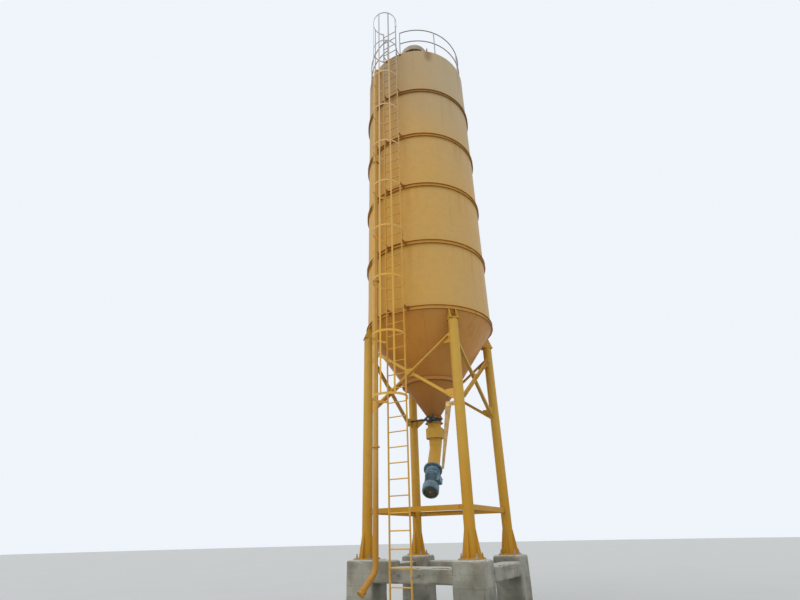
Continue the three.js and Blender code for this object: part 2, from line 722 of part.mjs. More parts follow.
function hoopHeights() {
  return Array.from({ length: HOOP_COUNT }, (unused, i) => FIRST_HOOP + i * HOOP_SPACING);
}

function cagePanel(startDegrees, endDegrees, barAngles) {
  const hoops = hoopHeights().map((z) => hoopArc(startDegrees, endDegrees).translate(0, 0, z));
  return unite([...hoops, ...barAngles.map(cageBar)]);
}

function cageSide(side) {
  const bars = [side * CAGE_BAR_ANGLE, side * 2 * CAGE_BAR_ANGLE];
  return cagePanel(side * PANEL_JOINT, side * HOOP_END_ANGLE, bars);
}

function cageFront() {
  const end = PANEL_JOINT - HOOP_JOINT_GAP;
  return cagePanel(-end, end, [0]);
}

// Fill pipe: up the shell beside the ladder, into the shell at the top, turned out at the foot
function fillPipe() {
  const at = (distance, z) => polar(FILL_PIPE_ANGLE, distance, z);
  const outward = Math.sin(FILL_FOOT_TURN);
  const downward = Math.cos(FILL_FOOT_TURN);
  const footCorner = at(FILL_PIPE_DISTANCE, FILL_FOOT_BEND);
  const axis = at(outward, -downward);
  const end = footCorner.clone().addScaledVector(axis, FILL_FOOT_LENGTH);
  const lowerBend = FILL_BEND_RADIUS * Math.tan(FILL_FOOT_TURN / 2);
  const lowerStart = footCorner.clone().addScaledVector(axis, lowerBend);
  const lowerEnd = at(FILL_PIPE_DISTANCE, FILL_FOOT_BEND + lowerBend);
  const upperStart = at(FILL_PIPE_DISTANCE, FILL_PIPE_TOP - FILL_BEND_RADIUS);
  const upperEnd = at(FILL_PIPE_DISTANCE - FILL_BEND_RADIUS, FILL_PIPE_TOP);
  const topCorner = at(FILL_PIPE_DISTANCE, FILL_PIPE_TOP);
  const bend = (...corners) => new THREE.QuadraticBezierCurve3(...corners).getPoints(FILL_BEND_STEPS);
  const pipe = polyTube([
    end,
    ...bend(lowerStart, footCorner, lowerEnd),
    ...bend(upperStart, topCorner, upperEnd),
    at(SHELL_RADIUS - FILL_PIPE_RADIUS / 2, FILL_PIPE_TOP),
  ], FILL_PIPE_RADIUS);
  const couplingStart = end.clone().addScaledVector(axis, -COUPLING_LENGTH);
  const couplingEnd = end.clone().addScaledVector(axis, COUPLING_LIP);
  const coupling = rod(couplingStart, couplingEnd, COUPLING_RADIUS, TUBE_SIDES);
  const clamps = RING_HEIGHTS.map((z) => pipeClamp(z));
  return cut(unite([pipe, coupling, ...clamps]), [siloClearance()]);
}

// A flat bar from the ring's outer edge to the pipe
function pipeClamp(z) {
  const inner = SHELL_RADIUS + GAP;
  const outer = FILL_PIPE_DISTANCE;
  const h = BRACKET_WIDTH / 2;
  const outline = [[inner, z - h], [outer, z - h], [outer, z + h], [inner, z + h]];
  return radialPlate(outline, CLAMP_WIDTH, FILL_PIPE_ANGLE);
}

// A tube through straight runs and short bends, with a joint at each given point
function polyTube(points, radius) {
  const outline = roundSection(radius, TUBE_SIDES).getPoints().slice(0, TUBE_SIDES);
  const positions = [];
  const sideways = polar(FILL_PIPE_ANGLE + 90, 1, 0);
  const tangentAt = (i) => {
    const before = points[Math.max(i - 1, 0)];
    const after = points[Math.min(i + 1, points.length - 1)];
    const arriving = points[i].clone().sub(before).normalize();
    const leaving = after.clone().sub(points[i]).normalize();
    return arriving.add(leaving).normalize();
  };
  const rings = points.map((point, i) => {
    const tangent = tangentAt(i);
    const up = new THREE.Vector3().crossVectors(tangent, sideways);
    return outline.map((p) => point.clone().addScaledVector(sideways, p.x).addScaledVector(up, p.y));
  });
  const push = (...corner) => corner.forEach((p) => positions.push(p.x, p.y, p.z));
  for (let i = 0; i + 1 < rings.length; i += 1) {
    for (let j = 0; j < TUBE_SIDES; j += 1) {
      const k = (j + 1) % TUBE_SIDES;
      push(rings[i][j], rings[i][k], rings[i + 1][k]);
      push(rings[i][j], rings[i + 1][k], rings[i + 1][j]);
    }
  }
  const last = rings[rings.length - 1];
  for (let j = 1; j + 1 < TUBE_SIDES; j += 1) {
    push(rings[0][0], rings[0][j + 1], rings[0][j]);
    push(last[0], last[j], last[j + 1]);
  }
  const geometry = new THREE.BufferGeometry();
  geometry.setAttribute('position', new THREE.Float32BufferAttribute(positions, 3));
  return mergeVertices(geometry, 1e-4);
}

// Discharge valve under the cone, with its actuator on the ladder's side
const VALVE_TOP = coneHeight(OUTLET_RADIUS) - OUTLET_SPIGOT_HEIGHT - OUTLET_FLANGE_HEIGHT - GAP;

function dischargeValve() {
  const body = ring(OUTLET_RADIUS, VALVE_RADIUS, VALVE_BOTTOM, VALVE_TOP, DRUM_SIDES);
  const z = (VALVE_BOTTOM + VALVE_TOP) / 2;
  const middle = -(ACTUATOR_NEAR + ACTUATOR_FAR) / 2;
  const stem = rod(
    new THREE.Vector3(0, -(OUTLET_RADIUS + VALVE_RADIUS) / 2, z),
    new THREE.Vector3(0, middle, z),
    VALVE_STEM_RADIUS, STEM_SIDES,
  );
  const head = rod(
    new THREE.Vector3(0, -ACTUATOR_NEAR, z),
    new THREE.Vector3(0, -ACTUATOR_FAR, z),
    ACTUATOR_RADIUS, TUBE_SIDES,
  );
  const arm = rod(
    new THREE.Vector3(0, middle, z),
    new THREE.Vector3(-ACTUATOR_ARM_REACH, middle, z),
    ACTUATOR_ARM_RADIUS, STEM_SIDES,
  );
  const s = INDICATOR_SIDE / 2;
  const indicator = block(
    ACTUATOR_RADIUS - INDICATOR_NECK, ACTUATOR_RADIUS + INDICATOR_SIDE,
    middle - s, middle + s,
    z - s, z - s + INDICATOR_HEIGHT,
  );
  return unite([body, stem, head, arm, indicator]);
}

// Screw: inlet spout, sloping tube, gear unit and motor on one axis
const SCREW_AXIS = new THREE.Vector3(
  Math.sin(SCREW_TURN) * Math.cos(SCREW_SLOPE),
  -Math.cos(SCREW_TURN) * Math.cos(SCREW_SLOPE),
  -Math.sin(SCREW_SLOPE),
);
const SCREW_CENTRE = new THREE.Vector3(0, 0, SCREW_AXIS_HEIGHT);

function alongScrew(distance) {
  return SCREW_CENTRE.clone().addScaledVector(SCREW_AXIS, distance);
}

function screwDrum(radius, from, to, sides = DRUM_SIDES) {
  return rod(alongScrew(from), alongScrew(to), radius, sides);
}

function screwTube() {
  const neckTop = VALVE_BOTTOM - GAP;
  const outside = [
    screwDrum(SCREW_RADIUS, SCREW_UPPER_END, SCREW_LOWER_END),
    screwDrum(SCREW_FLANGE_RADIUS, SCREW_UPPER_END, SCREW_UPPER_END + SCREW_FLANGE_THICKNESS),
    screwDrum(SCREW_FLANGE_RADIUS, SCREW_LOWER_END - SCREW_FLANGE_THICKNESS, SCREW_LOWER_END),
    drum(SCREW_RADIUS, SCREW_AXIS_HEIGHT, SPOUT_BOTTOM + OVERLAP, DRUM_SIDES),
    drum(SPOUT_RADIUS, SPOUT_BOTTOM, SPOUT_TOP, DRUM_SIDES),
    drum(NECK_RADIUS, SPOUT_TOP - OVERLAP, neckTop, DRUM_SIDES),
    drum(OUTLET_FLANGE_RADIUS, neckTop - OUTLET_FLANGE_HEIGHT, neckTop, DRUM_SIDES),
  ];
  const inside = [
    screwDrum(SCREW_RADIUS - SCREW_WALL, SCREW_UPPER_END - OVERLAP, SCREW_LOWER_END - SCREW_END_WALL),
    drum(SCREW_RADIUS - SCREW_WALL, SCREW_AXIS_HEIGHT, neckTop, DRUM_SIDES),
    drum(NECK_RADIUS - SCREW_WALL, SPOUT_BOTTOM + SCREW_WALL, neckTop + OVERLAP, DRUM_SIDES),
  ];
  return cut(unite(outside), inside);
}

function screwShaft() {
  const end = SCREW_LOWER_END - SCREW_END_WALL - GAP;
  return screwDrum(SCREW_SHAFT_RADIUS, SCREW_UPPER_END + SCREW_SHAFT_INSET, end, TUBE_SIDES);
}

function gearbox() {
  const start = SCREW_LOWER_END + GAP;
  return unite([
    screwDrum(GEARBOX_FOOT_RADIUS, start, start + GEARBOX_FLANGE),
    screwDrum(GEARBOX_WAIST_RADIUS, start + OVERLAP, GEARBOX_END - OVERLAP),
    screwDrum(GEARBOX_RADIUS, start + GEARBOX_BELLY_INSET, GEARBOX_END - GEARBOX_BELLY_INSET),
    screwDrum(GEARBOX_RADIUS, GEARBOX_END - GEARBOX_FLANGE, GEARBOX_END),
  ]);
}

function motor() {
  const start = GEARBOX_END + GAP;
  const { width, length, height, sunk } = TERMINAL_BOX;
  const boxStart = start + TERMINAL_BOX.start;
  const box = block(
    -width / 2, width / 2,
    MOTOR_RADIUS - sunk, MOTOR_RADIUS + height,
    boxStart, boxStart + length,
  );
  aim(box.rotateZ(TERMINAL_BOX_TURN), SCREW_CENTRE, SCREW_AXIS);
  return unite([
    screwDrum(GEARBOX_RADIUS, start, start + MOTOR_FLANGE),
    screwDrum(MOTOR_RADIUS, start + OVERLAP, MOTOR_END - OVERLAP),
    screwDrum(COWL_RADIUS, MOTOR_END - COWL_LENGTH, MOTOR_END),
    box,
  ]);
}

// The flat strut that hangs the screw's lower end from the leg at +X -Y, wider at its head
function hanger() {
  const flangeMiddle = SCREW_LOWER_END - SCREW_FLANGE_THICKNESS / 2;
  const sideways = new THREE.Vector3(Math.cos(SCREW_TURN), Math.sin(SCREW_TURN), 0);
  const f = HANGER_FOOT_WIDTH / 2;
  const h = HANGER_HEAD_WIDTH / 2;
  const foot = alongScrew(flangeMiddle).addScaledVector(sideways, SCREW_FLANGE_RADIUS + HANGER_FOOT_OUT);
  const head = new THREE.Vector3(LEG_OFFSET - HANGER_HEAD_INSET, -LEG_OFFSET, HANGER_TOP);
  const along = head.clone().sub(foot);
  const length = along.length();
  along.normalize();
  const across = new THREE.Vector3().crossVectors(along, polar(HANGER_FACING, 1, 0)).normalize();
  const facing = new THREE.Vector3().crossVectors(across, along);
  const strut = slab([[-f, 0], [f, 0], [h, length], [-h, length]], HANGER_THICKNESS);
  strut.applyMatrix4(new THREE.Matrix4().makeBasis(across, along, facing).setPosition(foot));
  const t = HANGER_THICKNESS / 2;
  const cleatBottom = HANGER_TOP - HANGER_CLEAT_HEIGHT;
  const cleat = block(head.x - h, LEG_OFFSET, head.y - t, head.y + t, cleatBottom, HANGER_TOP);
  const from = flangeMiddle - HANGER_FOOT_CLEARANCE;
  const flange = screwDrum(SCREW_FLANGE_RADIUS + 2 * GAP, from, from + 2 * HANGER_FOOT_CLEARANCE);
  const legTube = drum(LEG_RADIUS + GAP, LEG_FOOT, CAP_TOP, TUBE_SIDES);
  return cut(unite([strut, cleat]), [flange, legTube.translate(LEG_OFFSET, -LEG_OFFSET, 0)]);
}

// The assembly
const group = new THREE.Group();
const finish = {
  shell: material(ochrePaint, 0.55, 0.1),
  shaded: material(shadedPaint, 0.6, 0.1),
  frame: material(ochrePaint, 0.5, 0.15),
  concrete: material(concreteGrey, 0.9, 0),
  blue: material(motorBlue, 0.45, 0.3),
  black: material(blackPaint, 0.5, 0.4),
};

function add(name, geometry, look) {
  geometry.computeVertexNormals();
  const mesh = new THREE.Mesh(geometry, look.clone());
  mesh.name = name;
  group.add(mesh);
  return mesh;
}

LEG_SIGNS.forEach(([signX, signY], i) => {
  const number = i + 1;
  add(`foundation_pier_${number}`, foundationPier(signX, signY), finish.concrete);
  add(`leg_${number}`, leg(signX, signY), finish.frame);
  const quarter = radians(90 * i);
  const beam = foundationBeam(i === 0 ? PLINTH_END : PIER_SIDE / 2 - LEG_OFFSET);
  add(`foundation_beam_${number}`, beam, finish.concrete).rotation.z = quarter;
  add(`cross_brace_${number}`, crossBrace(), finish.frame).rotation.z = quarter;
  add(`leg_tie_${number}`, legTie(), finish.frame).rotation.z = quarter;
});

RING_HEIGHTS.forEach((height, i) => {
  add(`shell_course_${i + 1}`, shellCourse(i), finish.shell);
  add(`stiffener_ring_${i + 1}`, stiffenerRing(height), finish.frame);
});

add('upper_cone', coneCourse(CONE_JOINT_RADIUS, SHELL_RADIUS), finish.shaded);
add('lower_cone', lowerCone(), finish.shaded);
add('roof', roof(), finish.shell);
add('filter_body', filterBody(), finish.shell);
add('filter_cap', filterCap(), finish.shell);
add('roof_hatch', roofHatch(), finish.shell);

RAIL_PANEL_NAMES.forEach((side, i) => {
  add(`guardrail_${side}`, railPanel(i), finish.frame);
});

const beamFace = -(LEG_OFFSET + PIER_SIDE / 2 + GAP);
const insideShell = -(SHELL_RADIUS - LADDER_HALF_WIDTH / 2);
const lowerBrackets = [[(BEAM_TOP + BEAM_BOTTOM) / 2, beamFace], [RING_HEIGHTS[0], insideShell]];
const upperBrackets = [...RING_HEIGHTS.slice(1), ROOF_EDGE - BRACKET_WIDTH].map((z) => [z, insideShell]);
add('ladder_lower', ladder(LADDER_FOOT, LADDER_SPLIT, lowerBrackets), finish.frame);
add('ladder_upper', ladder(LADDER_SPLIT + GAP, LADDER_TOP, upperBrackets), finish.frame);

add('cage_left', cageSide(-1), finish.frame);
add('cage_front', cageFront(), finish.frame);
add('cage_right', cageSide(1), finish.frame);

add('fill_pipe', fillPipe(), finish.frame);
add('discharge_valve', dischargeValve(), finish.black);
add('screw_tube', screwTube(), finish.frame);
add('screw_shaft', screwShaft(), finish.frame);
add('gearbox', gearbox(), finish.blue);
add('motor', motor(), finish.blue);
add('screw_hanger', hanger(), finish.frame);

export default group;
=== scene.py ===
# %% [markdown]
# # A steel silo for cement
#
# A cement silo is a tall round bin of rolled steel plate on four tube legs. Dry cement is blown in
# through a pipe at the top, and a screw under its cone carries it away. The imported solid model
# gives each piece's place in metres: the silo's axis is Z, the ground is at zero, and the ladder
# stands on the -Y side. The cells below dress one piece after another over that frame.

# %% Load the frame
import math

import bmesh
import bpy
from mathutils import Matrix, Vector, noise


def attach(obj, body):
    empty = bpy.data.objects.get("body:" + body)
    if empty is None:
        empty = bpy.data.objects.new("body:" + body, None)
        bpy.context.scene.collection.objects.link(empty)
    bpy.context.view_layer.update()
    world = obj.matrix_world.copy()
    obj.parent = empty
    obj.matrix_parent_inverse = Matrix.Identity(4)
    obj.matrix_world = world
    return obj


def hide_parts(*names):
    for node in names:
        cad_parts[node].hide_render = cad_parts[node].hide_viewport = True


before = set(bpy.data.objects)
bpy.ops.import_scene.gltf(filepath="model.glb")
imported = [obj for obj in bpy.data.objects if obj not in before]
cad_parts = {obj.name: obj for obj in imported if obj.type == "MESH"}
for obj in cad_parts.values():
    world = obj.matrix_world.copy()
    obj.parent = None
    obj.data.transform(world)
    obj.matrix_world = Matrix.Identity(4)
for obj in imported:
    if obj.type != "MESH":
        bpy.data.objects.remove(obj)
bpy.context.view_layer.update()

# %% [markdown]
# ## The view
#
# The silo is looked at from the ground, close to it, with a short lens tilted well up. The tilt
# makes the sides lean together towards the top. A camera is turned in three steps: round Z to
# face the silo, round X to tilt it, and round its own line of sight for the slight roll of a
# hand-held picture. Two short names stand for the matrices of a move and a turn from here on.

# %% Set the camera up
at = Matrix.Translation


def turned(degrees, axis="Z"):
    return Matrix.Rotation(math.radians(degrees), 4, axis)


EYE = Vector((4.783, -10.353, 1.6))
HEADING, TILT, ROLL = 29.01, 26.83, -1.27

scene = bpy.context.scene
camera_data = bpy.data.cameras.new("camera")
camera_data.lens = 21.06
camera_data.shift_x = 0.0044
camera = bpy.data.objects.new("camera", camera_data)
camera.matrix_world = at(EYE) @ turned(HEADING) @ turned(90 + TILT, "X") @ turned(ROLL)
scene.collection.objects.link(camera)
scene.camera = camera
print("eye height:", EYE.z, "m, tilt:", TILT, "degrees")

# %% [markdown]
# ## Floor and light
#
# An overcast sky lights the silo from everywhere, a little more from the front and above. A pale
# world gives the even light, and one sun with a very wide angle gives the soft direction. The
# floor is a large pale disc, so that light also comes back up to the undersides.

# %% Lay the floor and set the lights
FLOOR_RADIUS = 120

scene.view_settings.view_transform = "Standard"

SKY = (0.865, 0.91, 0.965, 1)
world = bpy.data.worlds.new("pale sky")
world.use_nodes = True
world.node_tree.nodes["Background"].inputs["Color"].default_value = SKY
scene.world = world

SUN_FROM = Vector((-0.15, -0.6, 0.78))
sun_data = bpy.data.lights.new("soft sun", "SUN")
sun_data.energy = 0.85
sun_data.angle = math.radians(50)
sun_data.color = (1.0, 0.97, 0.92)
sun = bpy.data.objects.new("soft sun", sun_data)
sun.rotation_euler = SUN_FROM.to_track_quat("Z", "Y").to_euler()
scene.collection.objects.link(sun)

floor_form = bmesh.new()
bmesh.ops.create_circle(floor_form, cap_ends=True, radius=FLOOR_RADIUS, segments=96)
floor_mesh = bpy.data.meshes.new("floor")
floor_form.to_mesh(floor_mesh)
floor_form.free()
floor = bpy.data.objects.new("floor", floor_mesh)
scene.collection.objects.link(floor)
print("floor and sun are in place")

# %% [markdown]
# ## Writing a finish as arithmetic
#
# A painted surface is never one colour: it fades, gathers dust and runs with rust. In Blender
# such a finish is a graph of nodes, which is slow to write out link by link. The class below
# wraps a socket, so that `mask * 0.5 + 0.2` adds the Math nodes by itself. Its one method for
# every other node takes the node's settings and what goes into its sockets.

# %% A wire that can be reckoned with
class Wire:
    """A value, vector or colour that flows through a finish."""

    def __init__(self, socket):
        self.socket = socket

    def node(self, kind, inputs, output=0, stops=(), **settings):
        tree = self.socket.id_data
        made = tree.nodes.new("ShaderNode" + kind)
        for setting, value in settings.items():
            setattr(made, setting, value)
        for place, stop in enumerate(stops):
            if place > 1:
                made.color_ramp.elements.new(stop[0])
            made.color_ramp.elements[place].position = stop[0]
            made.color_ramp.elements[place].color = stop[1]
        for name, value in inputs.items():
            if isinstance(value, Wire):
                tree.links.new(value.socket, made.inputs[name])
            else:
                made.inputs[name].default_value = value
        return Wire(made.outputs[output])

    def maths(self, operation, first, second=0.0):
        return self.node("Math", {0: first, 1: second}, operation=operation)

    def __add__(self, other):
        return self.maths("ADD", self, other)

    def __sub__(self, other):
        return self.maths("SUBTRACT", self, other)

    def __rsub__(self, other):
        return self.maths("SUBTRACT", other, self)

    def __mul__(self, other):
        return self.maths("MULTIPLY", self, other)

    def __truediv__(self, other):
        return self.maths("DIVIDE", self, other)

    __radd__ = __add__

    def fraction(self):
        return self.maths("FRACT", self)

    def above(self, low, high):
        """A mask that rises smoothly from 0 at low to 1 at high."""
        limits = {"Value": self, "From Min": low, "From Max": high}
        return self.node("MapRange", limits, interpolation_type="SMOOTHSTEP")

    def tint(self, under, over):
        """Mixes two colours: under where this mask is 0, over where it is 1."""
        return self.node("Mix", {0: self, 6: under, 7: over}, output=2, data_type="RGBA")

    def grain(self, scale, stretch=(1, 1, 1), detail=4.0):
        """Cloudy noise on these coordinates, in repeats per metre."""
        placed = self.node("Mapping", {"Vector": self, "Scale": stretch})
        return self.node("TexNoise", {"Vector": placed, "Scale": scale, "Detail": detail})


def shade(red, green, blue):
    """A colour as a paint maker's 0 to 255 numbers, made linear."""
    return (*((value / 255) ** 2.2 for value in (red, green, blue)), 1)


def start_finish(name, metallic=0.0):
    """A new material with its shader, its object coordinates and how far its faces look up."""
    material = bpy.data.materials.new(name)
    material.use_nodes = True
    nodes = material.node_tree.nodes
    shader = nodes["Principled BSDF"]
    shader.inputs["Metallic"].default_value = metallic
    place = Wire(nodes.new("ShaderNodeTexCoord").outputs["Object"])
    normal = Wire(nodes.new("ShaderNodeNewGeometry").outputs["Normal"])
    facing = normal.node("SeparateXYZ", {0: normal}, output=2)
    return material, shader, place, facing


def end_finish(material, shader, colour, roughness, height, depth):
    """Feeds the colour, the roughness and a bump as deep as depth metres to the shader."""
    bump = height.node("Bump", {"Height": height, "Distance": depth})
    for name, wire in (("Base Color", colour), ("Roughness", roughness), ("Normal", bump)):
        material.node_tree.links.new(wire.socket, shader.inputs[name])
    print("finish:", material.name, len(material.node_tree.nodes), "nodes")
    return material


print("a colour:", [round(value, 3) for value in shade(190, 148, 60)])

# %% [markdown]
# ## Weathered ochre paint
#
# The silo and its frame are coated in one golden ochre paint. It ages differently on each piece:
# the shell greys with cement dust towards the top, where the filter is. On the side that faces
# the plant it turns paler and greyer with height, partly from dust and partly as painted light
# from the bright sky. The cone is darker towards its outlet, which is painted shade from the dark
# ground below. The frame is palest under the shell, brown water runs start under each ring, and
# every face that looks down is darkened as painted shade. The rails and the cage have lost their
# colour from just below the roof upwards, and their ochre is lighter than the frame's, as painted
# light on their shaded faces. A lifting lug leaves a rusty patch below it. So one function makes
# every ochre. It takes two functions of the height, one that says how aged the paint is there,
# which on the cone is painted shade, and one that says where the runs are, and for the shell a
# third that says where the rusty patches are.

# %% Mix the ochre paints
# The grime colour tints the water runs, and also paints shade on every face that looks down.
RUST = shade(112, 64, 32)
GRIME_AND_UNDERSIDE_SHADE = shade(104, 72, 36)
DUST = shade(168, 154, 124)
# A pale grey for the side towards the plant: partly dust, partly painted light from the bright sky.
SIDE_DUST_AND_SKY_LIGHT = shade(188, 171, 138)


def ochre(name, fresh, aged_and_shaded, age_and_shade_at, runs_at, dust=0.25, side_dust_and_light=0.0, rust_at=None):
    material, shader, place, facing = start_finish(name)
    shader.inputs["Specular IOR Level"].default_value = 0.35
    height = place.node("SeparateXYZ", {0: place}, output=2)
    plant_and_sky_side = place.node("SeparateXYZ", {0: place}, output=0).above(-0.4, 1.9)
    cloud = place.grain(0.9)
    mottle = place.grain(6)
    runs = place.grain(5, (1, 1, 0.05)).above(0.48, 0.78) * runs_at(height)
    speck = place.grain(55, detail=2).above(0.7, 0.73)
    # On the cone this mask is painted shade, which darkens the paint towards the outlet.
    years_and_shade = age_and_shade_at(height)
    age_and_shade = (cloud * 0.4 + years_and_shade * 0.8 - 0.08).above(0.0, 0.95)
    # Paler and greyer on that side and higher up: partly dust, partly painted light from the sky.
    sky_lit_dusty_side = plant_and_sky_side * (0.6 + cloud * 0.6) * (0.4 + years_and_shade * 0.6) * side_dust_and_light
    colour = age_and_shade.tint(shade(*fresh), shade(*aged_and_shaded))
    colour = (mottle.above(0.35, 0.75) * 0.2).tint(colour, shade(*(0.84 * c for c in fresh)))
    colour = sky_lit_dusty_side.tint(colour, SIDE_DUST_AND_SKY_LIGHT)
    colour = (runs * 0.2).tint(colour, GRIME_AND_UNDERSIDE_SHADE)
    if rust_at:
        colour = (rust_at(place) * (0.3 + mottle * 0.5)).tint(colour, RUST)
    colour = (facing.above(0.35, 0.95) * place.grain(4).above(0.3, 0.7) * dust).tint(colour, DUST)
    # Faces that look down are darkened towards the grime colour: painted shade.
    colour = ((1 - facing.above(-0.95, -0.7)) * 0.6).tint(colour, GRIME_AND_UNDERSIDE_SHADE)
    colour = (speck * 0.7).tint(colour, RUST)
    rough = 0.5 + age_and_shade * 0.12 + runs * 0.1 + speck * 0.2
    skin = mottle * 0.35 + place.grain(260, detail=1) * 0.1 - speck * 0.4
    return end_finish(material, shader, colour, rough, skin, 0.0015)


SHELL_RADIUS = 1.6
SHELL_BOTTOM = 6.298
COURSE = 1.815
RING_CENTRES = [SHELL_BOTTOM + 0.05 + COURSE * number for number in range(5)]
ROOF_EDGE = 15.46
LUG_ANGLES = (41, 119, 241, 319)


def around(degrees, radius, height):
    """A point by its angle round the silo, from the ladder's side towards +X."""
    angle = math.radians(degrees)
    return Vector((radius * math.sin(angle), -radius * math.cos(angle), height))


def near_filter(height):
    return height.above(9.5, 16.5)


# Painted shade: the cone's paint darkens towards its outlet.
def near_outlet(height):
    return 1 - height.above(4.0, 5.6)


def near_ground(height):
    return 1 - height.above(0.8, 5.0)


def bleached(height):
    """The rails pale slowly up the shell, and lose their colour just below the roof."""
    return height.above(7, 14) * 0.35 + height.above(ROOF_EDGE - 1.4, ROOF_EDGE - 0.2) * 0.65


def below_lugs(place):
    """A mask on the points of the shell just below a lifting lug, tall as runs are."""
    squeeze = 0.4
    squeezed = place.node("Mapping", {"Vector": place, "Scale": (1, 1, squeeze)})
    mask = 0
    for angle in LUG_ANGLES:
        spot = around(angle, SHELL_RADIUS, (ROOF_EDGE - 0.15) * squeeze)
        away = squeezed.node(
            "VectorMath", {0: squeezed, 1: spot}, output=1, operation="DISTANCE"
        )
        mask = (1 - away.above(0.03, 0.19)) + mask
    return mask


def under_rings(height):
    """How far a point is up its course, as a mask that is 1 just below the next ring."""
    return ((height - RING_CENTRES[0]) / COURSE).fraction().above(0.3, 1.0)


def under_hip(height):
    """The cone's runs start at the bottom ring."""
    return height.above(4.4, 6.3)


def under_caps(height):
    """The frame's runs: under the legs' caps, and splashed up from the ground."""
    return height.above(5.2, 6.0) + near_ground(height) * 0.8


shell_paint = ochre(
    "shell paint", (202, 150, 56), (170, 138, 90), near_filter, under_rings, 0.25, 0.85, below_lugs
)
ring_paint = ochre("ring paint", (212, 152, 60), (160, 118, 74), near_filter, near_filter, 0.5, 0.1)
cone_paint = ochre("cone paint", (198, 132, 46), (152, 98, 38), near_outlet, under_hip, 0.2, 0.45)
frame_paint = ochre("frame paint", (200, 156, 62), (188, 134, 28), near_ground, under_caps, 0.3)
pipe_paint = ochre("pipe paint", (206, 160, 80), (178, 126, 44), near_ground, under_rings, 0.2)
# The rail paint is lighter than the frame's: painted light on the ladder's and cage's shaded faces.
lit_rail_paint = ochre("lit rail paint", (220, 166, 58), (170, 172, 178), bleached, under_rings, 0.2)

# %% [markdown]
# ## Cast concrete
#
# The foundation was cast between sawn boards. Each board left its own tone and a faint joint, air
# bubbles left pits, damp has greened it, and rusty water has run down from the foot plates. Faces
# that look up are paler. The boards are 0.2 m high strips by height: the rounded-down height picks
# a random tone for each strip, and the fraction that is left over marks the joint.

# %% Mix the concrete
def concrete(name):
    material, shader, place, facing = start_finish(name)
    height = place.node("SeparateXYZ", {0: place}, output=2)
    board = height / 0.2 + place.grain(0.8) * 0.35
    tone = place.node(
        "TexWhiteNoise", {"W": place.maths("FLOOR", board)}, noise_dimensions="1D"
    )
    joint = (1 - board.fraction().above(0.0, 0.06)) * place.grain(3).above(0.35, 0.6)
    cloud = place.grain(2.2, detail=8)
    rubbed = place.grain(9, (1, 1, 0.35), detail=6)
    sand = place.grain(90, detail=3)
    pits = 1 - place.node("TexVoronoi", {"Vector": place, "Scale": 26}).above(0.1, 0.24)
    pits = pits * place.grain(5).above(0.5, 0.62)
    stain = place.grain(4.5, (1, 1, 0.12)).above(0.5, 0.72) * height.above(0.5, 1.2)
    damp = place.grain(1.6, detail=6).above(0.5, 0.7)
    soil = 1 - height.above(0.05, 0.5)
    colour = cloud.above(0.3, 0.7).tint(shade(110, 107, 93), shade(166, 162, 147))
    colour = (rubbed.above(0.35, 0.7) * 0.45).tint(colour, shade(128, 129, 120))
    colour = (tone * 0.22).tint(colour, shade(108, 108, 98))
    colour = (damp * 0.3).tint(colour, shade(104, 110, 88))
    colour = (joint * 0.35).tint(colour, shade(84, 82, 74))
    colour = (pits * 0.7).tint(colour, shade(70, 68, 62))
    colour = (stain * 0.45).tint(colour, shade(126, 98, 58))
    colour = (soil * place.grain(3).above(0.3, 0.6) * 0.6).tint(colour, shade(92, 84, 64))
    # Faces that look up are made paler.
    colour = (facing.above(0.3, 0.9) * 0.8).tint(colour, shade(190, 188, 180))
    relief = cloud * 0.5 + rubbed * 0.3 + sand * 0.18 - joint * 0.25 - pits * 0.6
    return end_finish(material, shader, colour, 0.86 + cloud * 0.1, relief, 0.012)


foundation_concrete = concrete("foundation concrete")

# %% [markdown]
# ## Machine paints and bare fasteners
#
# The motor and gear unit are sprayed with blue enamel, and the valve with black. Both are
# smoother than the silo's paint and gather grey dust on top. Anchor bolts are zinc plated, dull
# and mottled, and the ladder's brackets and the lifting lugs were left in red-brown primer. One
# function serves them all, because only the colours, the metal, the gloss and the dust differ.

# %% Mix the machine finishes
def enamel(name, colour, worn, roughness=0.3, metallic=0.0, dust=0.6):
    material, shader, place, facing = start_finish(name, metallic)
    upward = facing.above(0.35, 0.95)
    cloud = place.grain(6)
    wear = place.grain(30, detail=6).above(0.6, 0.7)
    tone = cloud.above(0.3, 0.75).tint(shade(*colour), shade(*(0.78 * c for c in colour)))
    tone = (wear * 0.7).tint(tone, shade(*worn))
    tone = (upward * place.grain(9).above(0.25, 0.7) * dust).tint(tone, DUST)
    rough = roughness + cloud * 0.15 + upward * 0.25
    return end_finish(material, shader, tone, rough, cloud * 0.3 - wear * 0.4, 0.001)


blue_enamel = enamel("blue enamel", (92, 124, 142), (128, 138, 140), 0.32, dust=0.35)
black_enamel = enamel("black enamel", (50, 49, 46), (92, 86, 76), 0.35, dust=0.35)
grille_enamel = enamel("grille enamel", (104, 102, 84), (118, 112, 96), 0.5, dust=0.3)
# The cap's inner skin is paler than the cap: painted light that lifts its deep shade.
lit_lining_enamel = enamel("lit lining enamel", (218, 196, 158), (176, 152, 118), 0.6, dust=0.2)
cap_enamel = enamel("cap enamel", (172, 156, 132), (150, 126, 92), 0.5, dust=0.3)
zinc = enamel("zinc plate", (168, 166, 158), (138, 112, 84), 0.5, 0.35, 0.3)
primer = enamel("red primer", (162, 94, 34), (120, 72, 36), 0.85, dust=0.2)
# The strut is painted pale, and paler still than its coat: painted light on its shaded faces.
pale_lit_enamel = enamel("pale lit enamel", (238, 198, 134), (204, 158, 96), 0.5, dust=0.2)
# A white for the valve's cap nut: a painted highlight.
painted_highlight_white = enamel("painted highlight white", (232, 232, 228), (200, 198, 190), 0.35, dust=0.2)

